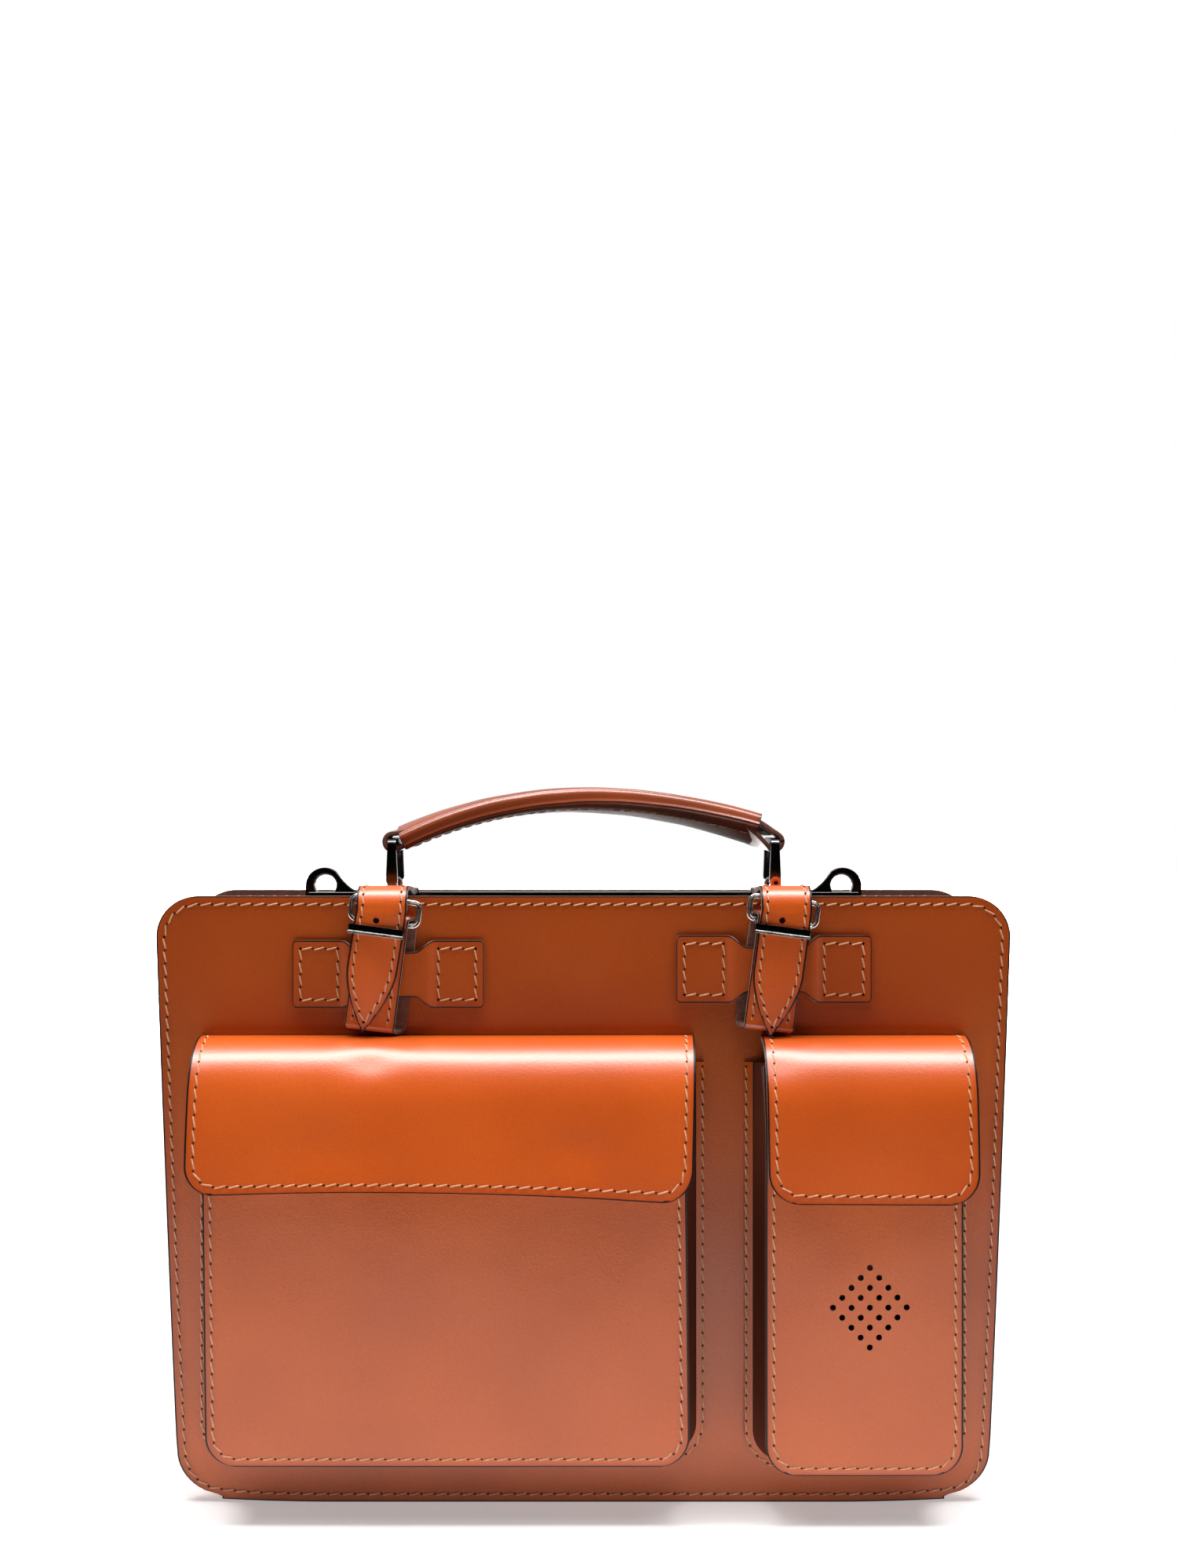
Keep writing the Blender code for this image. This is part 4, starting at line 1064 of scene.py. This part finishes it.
def build_loop(closure):
    """The flattened strap loop through the patch; its foot is an open round turn."""
    name = f"strap_loop_{closure.label}"
    low, high = corners(name)
    centre = (low + high) / 2
    thick = 1.8 * MM
    depth = (high.y - low.y) / 2 - thick / 2
    half_height = (high.z - low.z) / 2 / math.cos(LEAN) - 11 * MM * math.sin(LEAN)
    straight = half_height - depth - thick / 2
    toe = 0.9 * MM
    path = arc(0, straight, depth, 0, 180, 14)
    path += [(-depth, z) for z in spread(straight, -straight, 20)[1:-1]]
    for share in spread(0, 1, 24):
        angle = math.pi * (1 + share)
        swell = toe * math.sin(math.pi * share) ** 1.2 * (1 - share)
        path.append((depth * math.cos(angle) - swell, depth * math.sin(angle) - straight))
    path += [(depth, z) for z in spread(-straight, straight, 20)[1:-1]]
    turn = Matrix.Rotation(LEAN, 4, "Y")
    shift = 4.6 * MM if closure.label == "left" else -3.6 * MM
    rows = []
    for x in spread(-STRAP_HALF, STRAP_HALF, 10):
        row = []
        for y, z in path:
            down = unit((straight - z) / (1.4 * straight))
            back = (y / depth + 1) / 2 * (0.75 + 0.25 * down)
            row.append(centre + turn @ Vector((x + shift * back, y, z)))
        rows.append(row)
    loop = leather_sheet(name, rows, thick, 0.6 * MM, (0, 1, 0.2), closed=True)
    place_piece(loop, FLAP_SHEET, (name,), "bag")
    line = [(-depth - 0.9 * MM, z) for z in (0, -straight * 0.5, -straight)]
    line.append((-depth * 0.7 - 0.7 * MM, -straight - depth * 0.8))
    paths = [[centre + turn @ Vector((x, y, z)) for y, z in line]
             for x in (-7.8 * MM, 7.8 * MM)]
    stitches(f"{name}_stitches", paths, forward, "bag", pitch=5.2 * MM)


def build_buckle_ring(closure):
    """A rectangle of two wires side by side."""
    name = f"buckle_ring_{closure.label}"
    turn = Matrix.Translation(closure.buckle) @ Matrix.Rotation(LEAN, 4, "Y")
    for number, inset in enumerate((0, 1.25 * MM)):
        outline = rounded_box(15.6 * MM - inset, inset - 0.9 * MM, 10.4 * MM - inset,
                              3.2 * MM - inset, 6)
        points = [turn @ Vector((x, inset * 0.3, z)) for x, z in outline]
        ring = tube(f"{name}_{number}", points, 0.62 * MM, cyclic=True, sides=12)
        replaced = (name,) if number == 0 else ()
        place_piece(ring, (NICKEL,), replaced, f"{closure.label}_buckle_ring")


def patch_shape(x, half_length):
    """Half height of a patch at x from its middle, and how far it stands off the panel."""
    reach = abs(x)
    broad, narrow = 14.9 * MM, 9.9 * MM
    half = narrow + (broad - narrow) * smooth((reach - 12 * MM) / (8 * MM))
    corner = 2 * MM
    over = reach - (half_length - corner)
    if over > 0:
        half -= corner - math.sqrt(max(corner ** 2 - over ** 2, 0))
    return half, 1 - smooth((reach - 17 * MM) / (4.5 * MM))


def build_patch(closure):
    """The bow-tie patch, sewn down at both ends and raised over the loop."""
    name = f"strap_patch_{closure.label}"
    half_length = closure.patch_half
    rows = []
    for angle in spread(0, math.pi, 70):
        x = -half_length * math.cos(angle)
        half, rise = patch_shape(x, half_length)
        y = FRONT_FACE - SHEET_GAP - 0.75 * MM - rise * 2.45 * MM
        rows.append([(closure.patch.x + x, y, z)
                     for z in spread(closure.patch.z - half, closure.patch.z + half, 8)])
    patch = leather_sheet(name, rows, 1.5 * MM, 0.6 * MM, (0, -1, 0))
    # Painted shade near the top of the bag.
    paint_top_shade(patch)
    place_piece(patch, BODY_SHEET, (name,), "bag")
    paths = []
    y = FRONT_FACE - 1.78 * MM
    for side in (-1, 1):
        inner = closure.patch.x + side * 22.2 * MM
        outer = closure.patch.x + side * (half_length - 3.6 * MM)
        low = closure.patch.z - 11.3 * MM
        high = closure.patch.z + 11.3 * MM
        square = [(inner, y, low), (inner, y, high), (outer, y, high), (outer, y, low)]
        paths += zip(square, square[1:] + square[:1])
    stitches(f"{name}_stitches", paths, forward, "bag", pitch=5.1 * MM)


def build_closures():
    for label in ("left", "right"):
        closure = Closure(label)
        build_tongue(closure)
        build_clip(closure)
        build_loop(closure)
        build_buckle_ring(closure)
        build_patch(closure)


# ---------------------------------------------------------------- pockets

POCKET_CORNER = 13 * MM
HOLES_ACROSS = 0.52381
HOLES_UP = 0.41753
FLAP_CORNER = 13.5 * MM


def pocket_u(left, right, bottom, top, radius, lean=0.0):
    """The U of a pocket's edge as X and Z, from its left top to its right top."""
    turn_z = bottom + radius
    points = [(left, z) for z in spread(top, turn_z, 12)[:-1]]
    points += arc(left + radius, turn_z, radius, 180, 270, 9)
    points += [(x, bottom) for x in spread(left + radius, right - radius, 12)[1:-1]]
    points += arc(right - radius, turn_z, radius, 270, 360, 9)
    points += [(right, z) for z in spread(turn_z, top, 12)[1:]]
    return [(x - lean * (z - bottom), z) for x, z in points]


def pocket_belly(x, z, low, high, seed):
    """How far a pocket's front stands out beyond flat."""
    u = (x - low.x) / (high.x - low.x)
    v = (z - low.z) / (high.z - low.z)
    crown = max(math.sin(math.pi * unit(u)), 0) ** 0.7
    crown *= max(math.sin(math.pi * unit(v)), 0) ** 0.7
    tuck = 1 - unit((z - low.z) / (14 * MM))
    return 1.3 * MM * crown + 1.2 * MM * crown * wave(x, z, seed, 0.07) - 1.2 * MM * tuck * tuck


def mouth_draw(z, top):
    """How far the pocket's mouth is drawn back towards the bag under its flap."""
    return 9.5 * MM * smooth(1 - (top - z) / (31 * MM))


def build_pocket_front(pocket, lean, seed):
    """A pocket's front with its seam; only the small one is punched."""
    name = f"{pocket}_pocket_front"
    low, high = corners(name)
    thick = high.y - low.y
    heights = [POCKET_CORNER * (1 - math.cos(angle)) for angle in spread(0, math.pi / 2, 12)[:-1]]
    heights += spread(POCKET_CORNER, high.z - low.z, 30)

    def place(x, height, y):
        z = low.z + height
        y += mouth_draw(z, high.z) - pocket_belly(x, z, low, high, seed)
        return x - lean * height, y, z

    rows = []
    for height in heights:
        below = max(POCKET_CORNER - height, 0)
        narrow = POCKET_CORNER - math.sqrt(POCKET_CORNER ** 2 - below ** 2)
        rows.append([place(x, height, (high.y + low.y) / 2)
                     for x in spread(low.x + narrow, high.x - narrow, 36)])
    front = leather_sheet(name, rows, thick, 0.75 * MM, (0, -1, 0))
    if pocket == "small":
        perforate(front, low, high)
    place_piece(front, BODY_SHEET, (name,), "bag")
    inset = 3.3 * MM
    rim = pocket_u(low.x + inset, high.x - inset, low.z + inset, high.z - 2 * MM,
                   POCKET_CORNER - inset)
    path = [place(x, z - low.z, low.y - 0.02 * MM) for x, z in rim]
    stitches(f"{name}_stitches", [path], forward, "bag")


def perforate(front, low, high):
    """A diamond of punched holes, five to a side."""
    diamond_x = low.x + HOLES_ACROSS * (high.x - low.x)
    diamond_z = low.z + HOLES_UP * (high.z - low.z)
    places = []
    for row in range(-2, 3):
        for column in range(-2, 3):
            places.append((diamond_x + (row - column) * 3.93 * MM, (low.y + high.y) / 2,
                           diamond_z + (row + column) * 4.25 * MM))
    cut_holes(front, places, 1.32 * MM, 20)


def build_pocket_gusset(pocket, lean, seed):
    """The pocket's side band: a flange on the bag, a soft fold, and a flange at the front."""
    name = f"{pocket}_pocket_gusset"
    low, high = corners(name)
    front_low, front_high = corners(f"{pocket}_pocket_front")
    thick = 1.6 * MM
    flange = 4.3 * MM
    base_y = FRONT_FACE - SHEET_GAP - thick / 2
    front_y = front_high.y + SHEET_GAP + thick / 2
    edge_left, edge_right, edge_bottom = low.x + 0.4 * MM, high.x - 0.4 * MM, low.z + 0.4 * MM
    top = high.z
    sections = [(0.0, 0.0, base_y), (0.5, 0.0, base_y), (0.92, 0.0, base_y)]
    sections += [(1.0, share, base_y + (front_y - base_y) * share ** 0.95)
                 for share in spread(0, 1, 10)[1:]]
    sections += [(1.3, 1.0, front_y), (2.2, 1.0, front_y)]
    rows = []
    reach = flange - 0.9 * MM
    for turn, travel, y in sections:
        extra = max(turn - 1, 0) * 4.5 * MM
        arch_share = math.sin(math.pi * travel)
        pull = 4.2 * MM * arch_share ** 0.8
        inset = flange * min(turn, 1) + extra
        left = edge_left + inset + pull + (front_low.x - edge_left - reach) * travel
        right = edge_right - inset - pull + (front_high.x - edge_right + reach) * travel
        bottom = edge_bottom + inset + pull * 0.6 + (front_low.z - edge_bottom - reach) * travel
        radius = POCKET_CORNER + flange * (1 - min(turn, 1)) - extra * 0.8 - pull * 0.5
        rows.append([(x, y + mouth_draw(z, top) * travel
                      + 0.4 * MM * wave(x + y, z, seed, 0.03) * arch_share, z)
                     for x, z in pocket_u(left, right, bottom, top, radius, lean * travel)])
    gusset = leather_sheet(name, rows, thick, 0.0, (0, -1, 0), rub_and_shade=0.0, probe=0.02)
    # Painted shade: the part of the band in front of the back flange, deep in the groove, takes the
    # near-black copy of the leather.
    inner_edge = base_y - thick * 0.8
    for face in gusset.data.polygons:
        if face.material_index == 0 and face.center.y < inner_edge:
            face.material_index = 3
    gusset.data.materials.append(None)
    place_piece(gusset, (BODY, EDGE, LINING, DARK), (name,), "bag")
    fold = [(x, base_y - thick * 0.55, z) for x, z in
            pocket_u(edge_left + flange, edge_right - flange, edge_bottom + flange,
                     top - 0.5 * MM, POCKET_CORNER)]
    piping = tube(f"{name}_fold_edge", fold, 0.55 * MM, sides=8)
    place_piece(piping, (EDGE,), (), "bag")
    seam = 0.8 * MM
    path = [(x, base_y - thick / 2 - 0.02 * MM, z) for x, z in
            pocket_u(edge_left + seam, edge_right - seam, edge_bottom + seam, top - 2 * MM,
                     POCKET_CORNER + flange - seam)]
    stitches(f"{name}_stitches", [path], forward, "bag", pitch=5.6 * MM)


def flap_profile(high_z, low_z):
    """The flap's middle line: how far in front of the panel, and how high, at even steps."""
    root = high_z - MM
    shoulder = root - 23.6 * MM
    knots = [(0.3 * MM, root), (13 * MM, root + 0.8 * MM), (25 * MM, root - 6.1 * MM),
             (29.3 * MM, shoulder)]
    points = []
    for t in spread(0, 1, 30)[:-1]:
        weights = ((1 - t) ** 3, 3 * t * (1 - t) ** 2, 3 * t * t * (1 - t), t ** 3)
        out, z = (sum(w * k[axis] for w, k in zip(weights, knots)) for axis in (0, 1))
        points.append((0, -out, z))
    for share in spread(0, 1, 30):
        points.append((0, -(29.3 + 6.9 * share ** 0.9) * MM, shoulder + (low_z - shoulder) * share))
    return resample(points, 0.5 * MM)


def on_profile(profile, travel):
    """The point of a profile at a distance along it, and the direction out of the flap."""
    place = min(max(travel / (profile[1] - profile[0]).length, 0), len(profile) - 1.001)
    index = int(place)
    here = profile[index].lerp(profile[index + 1], place - index)
    along = profile[min(index + 2, len(profile) - 1)] - profile[max(index - 2, 0)]
    return here, strap_out(along)


class Flap:
    """A whole flap, from its sewn root over the pocket's mouth and down the front."""

    def __init__(self, pocket, seed):
        self.name = f"{pocket}_flap"
        self.seed = seed
        self.low, self.high = low, high = corners(self.name)
        self.profile = flap_profile(high.z, low.z)
        self.pitch = (self.profile[1] - self.profile[0]).length
        self.length = self.pitch * (len(self.profile) - 1)
        strap = "left" if pocket == "big" else "right"
        pressed = JOINTS[f"{strap}_strap_lift"]["pos_m"][0] - 6 * MM
        if pocket == "big":
            self.lifts, self.taper = (1.27, 9.3, -12.9), 2.6 * MM
            width = high.x - low.x
            self.dents = ((pressed, 24 * MM, 11 * MM, 1.3 * MM),
                          (low.x + 0.27 * width, 62 * MM, 15 * MM, 0.7 * MM),
                          (low.x + 0.77 * width, 62 * MM, 13 * MM, 0.9 * MM),
                          (low.x + 0.08 * width, 40 * MM, 16 * MM, 0.7 * MM))
        else:
            self.lifts, self.taper = (1.0, -0.4, 0.0), 1.0 * MM
            self.dents = ((pressed, 26 * MM, 12 * MM, 1.1 * MM),)

    def point(self, x, travel, lift=0.0):
        """A point of the face at x, a distance along it, lift above its middle line."""
        here, out = on_profile(self.profile, travel)
        u = unit((x - self.low.x) / (self.high.x - self.low.x))
        share = travel / self.length
        lift += 0.9 * MM * math.sin(math.pi * share) * math.sin(math.pi * u) ** 0.6
        lift += 1.7 * MM * wave(x, travel, self.seed, 0.09) * math.sin(math.pi * share) ** 0.7
        for across, along, wide, deep in self.dents:
            near = ((x - across) / wide) ** 2 + ((travel - along) / (0.7 * wide)) ** 2
            lift -= deep * math.exp(-near)
        level, slope, bend = self.lifts
        bottom = (level + slope * u + bend * u * u) * MM * share ** 4
        return Vector((x, FRONT_FACE + here.y + out.y * lift, here.z + out.z * lift + bottom))

    def sides(self, travel):
        """The left and the right X of the flap at a distance along it."""
        over = max(travel - (self.length - FLAP_CORNER), 0)
        narrow = FLAP_CORNER - math.sqrt(max(FLAP_CORNER ** 2 - over ** 2, 0))
        drawn_in = self.taper * travel / self.length
        return self.low.x + narrow, self.high.x + 1.0 * MM - drawn_in - narrow

    def seam(self, inset):
        """The line of stitches as X and travel, inset from the left, lower and right edge."""
        stop = self.length - FLAP_CORNER
        right = self.sides(stop)[1]
        turn = arc(0, 0, FLAP_CORNER - inset, 180, 270, 8)
        downs = spread(1.5 * MM, stop, 60)
        turn_left, turn_right = self.low.x + FLAP_CORNER, right - FLAP_CORNER
        path = [(self.sides(travel)[0] + inset, travel) for travel in downs]
        path += [(turn_left + x, stop - z) for x, z in turn[1:]]
        path += [(x, self.length - inset) for x in spread(turn_left, turn_right, 24)[1:-1]]
        path += [(turn_right - x, stop - z) for x, z in reversed(turn)]
        path += [(self.sides(travel)[1] - inset, travel) for travel in reversed(downs[:-1])]
        return path

    def out_at(self, point):
        profile = self.profile
        near = min(profile, key=lambda p: abs(FRONT_FACE + p.y - point.y) + abs(p.z - point.z))
        return on_profile(profile, profile.index(near) * self.pitch)[1]


def build_flap(pocket, seed):
    """One sheet over two bodies: the sewn root stays on the bag and the rest lifts."""
    flap = Flap(pocket, seed)
    name = flap.name
    folded = 30 * MM
    stop = flap.length - FLAP_CORNER
    travels = spread(0, folded, 24)[:-1] + spread(folded, stop, 16)[:-1]
    travels += [stop + FLAP_CORNER * math.sin(angle) for angle in spread(0, math.pi / 2, 12)]
    columns = 60 if pocket == "big" else 32
    rows = [[flap.point(x, travel) for x in spread(*flap.sides(travel), columns)]
            for travel in travels]
    blend = fold_blend(f"{pocket}_flap_lift", name, 12 * MM)
    thick = 2 * MM
    sheet = leather_sheet(name, rows, thick, 0.8 * MM, (0, -1, 0.3))
    place_piece(sheet, FLAP_SHEET, (name, f"{pocket}_flap_top"), blend=blend)
    path = [flap.point(x, travel, thick / 2 + 0.02 * MM) for x, travel in flap.seam(3.7 * MM)]
    stitches(f"{name}_stitches", [path], flap.out_at, blend=blend)


def build_pockets():
    for pocket, lean, seed in (("big", 0.012, 2.0), ("small", 0.0, 9.0)):
        build_pocket_front(pocket, lean, seed)
        build_pocket_gusset(pocket, lean, seed)
        build_flap(pocket, seed + 1)


# ---------------------------------------------------------------- kept nodes, stage, camera

def finish_kept_nodes():
    """Better materials on the CAD nodes that stay as they are."""
    kept = {"divider_panel": LINING}
    for label in ("left", "middle", "right"):
        kept[f"bar_rivet_{label}"] = GUNMETAL
    for pocket in ("big", "small"):
        kept[f"{pocket}_flap_magnet"] = PLATE
        kept[f"{pocket}_pocket_keeper"] = PLATE
    for node, material in kept.items():
        obj = bpy.data.objects[node]
        for slot in obj.material_slots:
            slot.material = material


def build_stage():
    """A pale floor that also glows a little, as a light table does."""
    pale = plain("pale_floor", (3,), ((0.92, 0.92, 0.92), (0.95, 0.95, 0.95)), (0.3, 0.7),
                 Roughness=0.75, Emission_Color=(1, 1, 1, 1), Emission_Strength=0.35)
    bm = bmesh.new()
    bmesh.ops.create_grid(bm, x_segments=8, y_segments=8, size=3.0)
    floor = mesh_object("floor", bm)
    floor.data.transform(Matrix.Translation((0, 2.4, 0)))
    floor.data.materials.append(pale)
    bpy.context.scene.collection.objects.link(floor)


ROOM_DARK = 0.01
ROOM_BRIGHT = 0.5


def add_area(name, place, target, size, power, spread=180):
    light = bpy.data.lights.new(name, "AREA")
    light.shape = "RECTANGLE"
    light.size, light.size_y = size
    light.energy = power
    light.spread = math.radians(spread)
    obj = bpy.data.objects.new(name, light)
    obj.location = place
    obj.rotation_euler = (Vector(target) - Vector(place)).to_track_quat("-Z", "Y").to_euler()
    bpy.context.scene.collection.objects.link(obj)


def build_light():
    """White surroundings behind and beside the bag, a dark room in front, two soft boxes."""
    world = bpy.data.worlds.new("studio")
    bpy.context.scene.world = world
    world.use_nodes = True
    tree = world.node_tree
    background = tree.nodes["Background"]
    direction, split, room, seen, pick = (
        tree.nodes.new("ShaderNode" + kind)
        for kind in ("TexCoord", "SeparateXYZ", "MapRange", "LightPath", "Mix"))
    room.interpolation_type = "SMOOTHSTEP"
    set_inputs(room, {"From Min": -0.35, "From Max": 0.3, "To Min": ROOM_DARK,
                      "To Max": ROOM_BRIGHT})
    set_inputs(pick, {"B": 1.0})
    for output, target in (
            (direction.outputs["Generated"], split.inputs["Vector"]),
            (split.outputs["Y"], room.inputs["Value"]),
            (seen.outputs["Is Camera Ray"], pick.inputs["Factor"]),
            (room.outputs["Result"], pick.inputs["A"]),
            (pick.outputs["Result"], background.inputs["Color"])):
        tree.links.new(output, target)
    add_area("overhead_wide", (0, -0.2, 1.25), (0, -0.15, 0.1), (1.5, 0.9), 6)
    add_area("overhead_strip", (0, -0.1, 1.2), (0, -0.08, 0.1), (1.4, 0.34), 22)
    add_area("backdrop", (0, 3.3, 2.2), (0, 3.3, 0), (5.4, 3.4), 620, spread=70)


def build_camera():
    camera = bpy.data.cameras.new("camera")
    camera.sensor_width = 36
    camera.lens = 41.5
    obj = bpy.data.objects.new("camera", camera)
    obj.location = (2.3 * MM, FRONT_FACE - 0.8, PANEL_TOP + 49.7 * MM)
    obj.rotation_euler = (math.pi / 2, 0, 0)
    bpy.context.scene.collection.objects.link(obj)
    bpy.context.scene.camera = obj
    bpy.context.scene.view_settings.view_transform = "Standard"


build_camera()
build_body()
build_top_bar()
build_handle()
build_closures()
build_pockets()
finish_kept_nodes()
build_stage()
build_light()
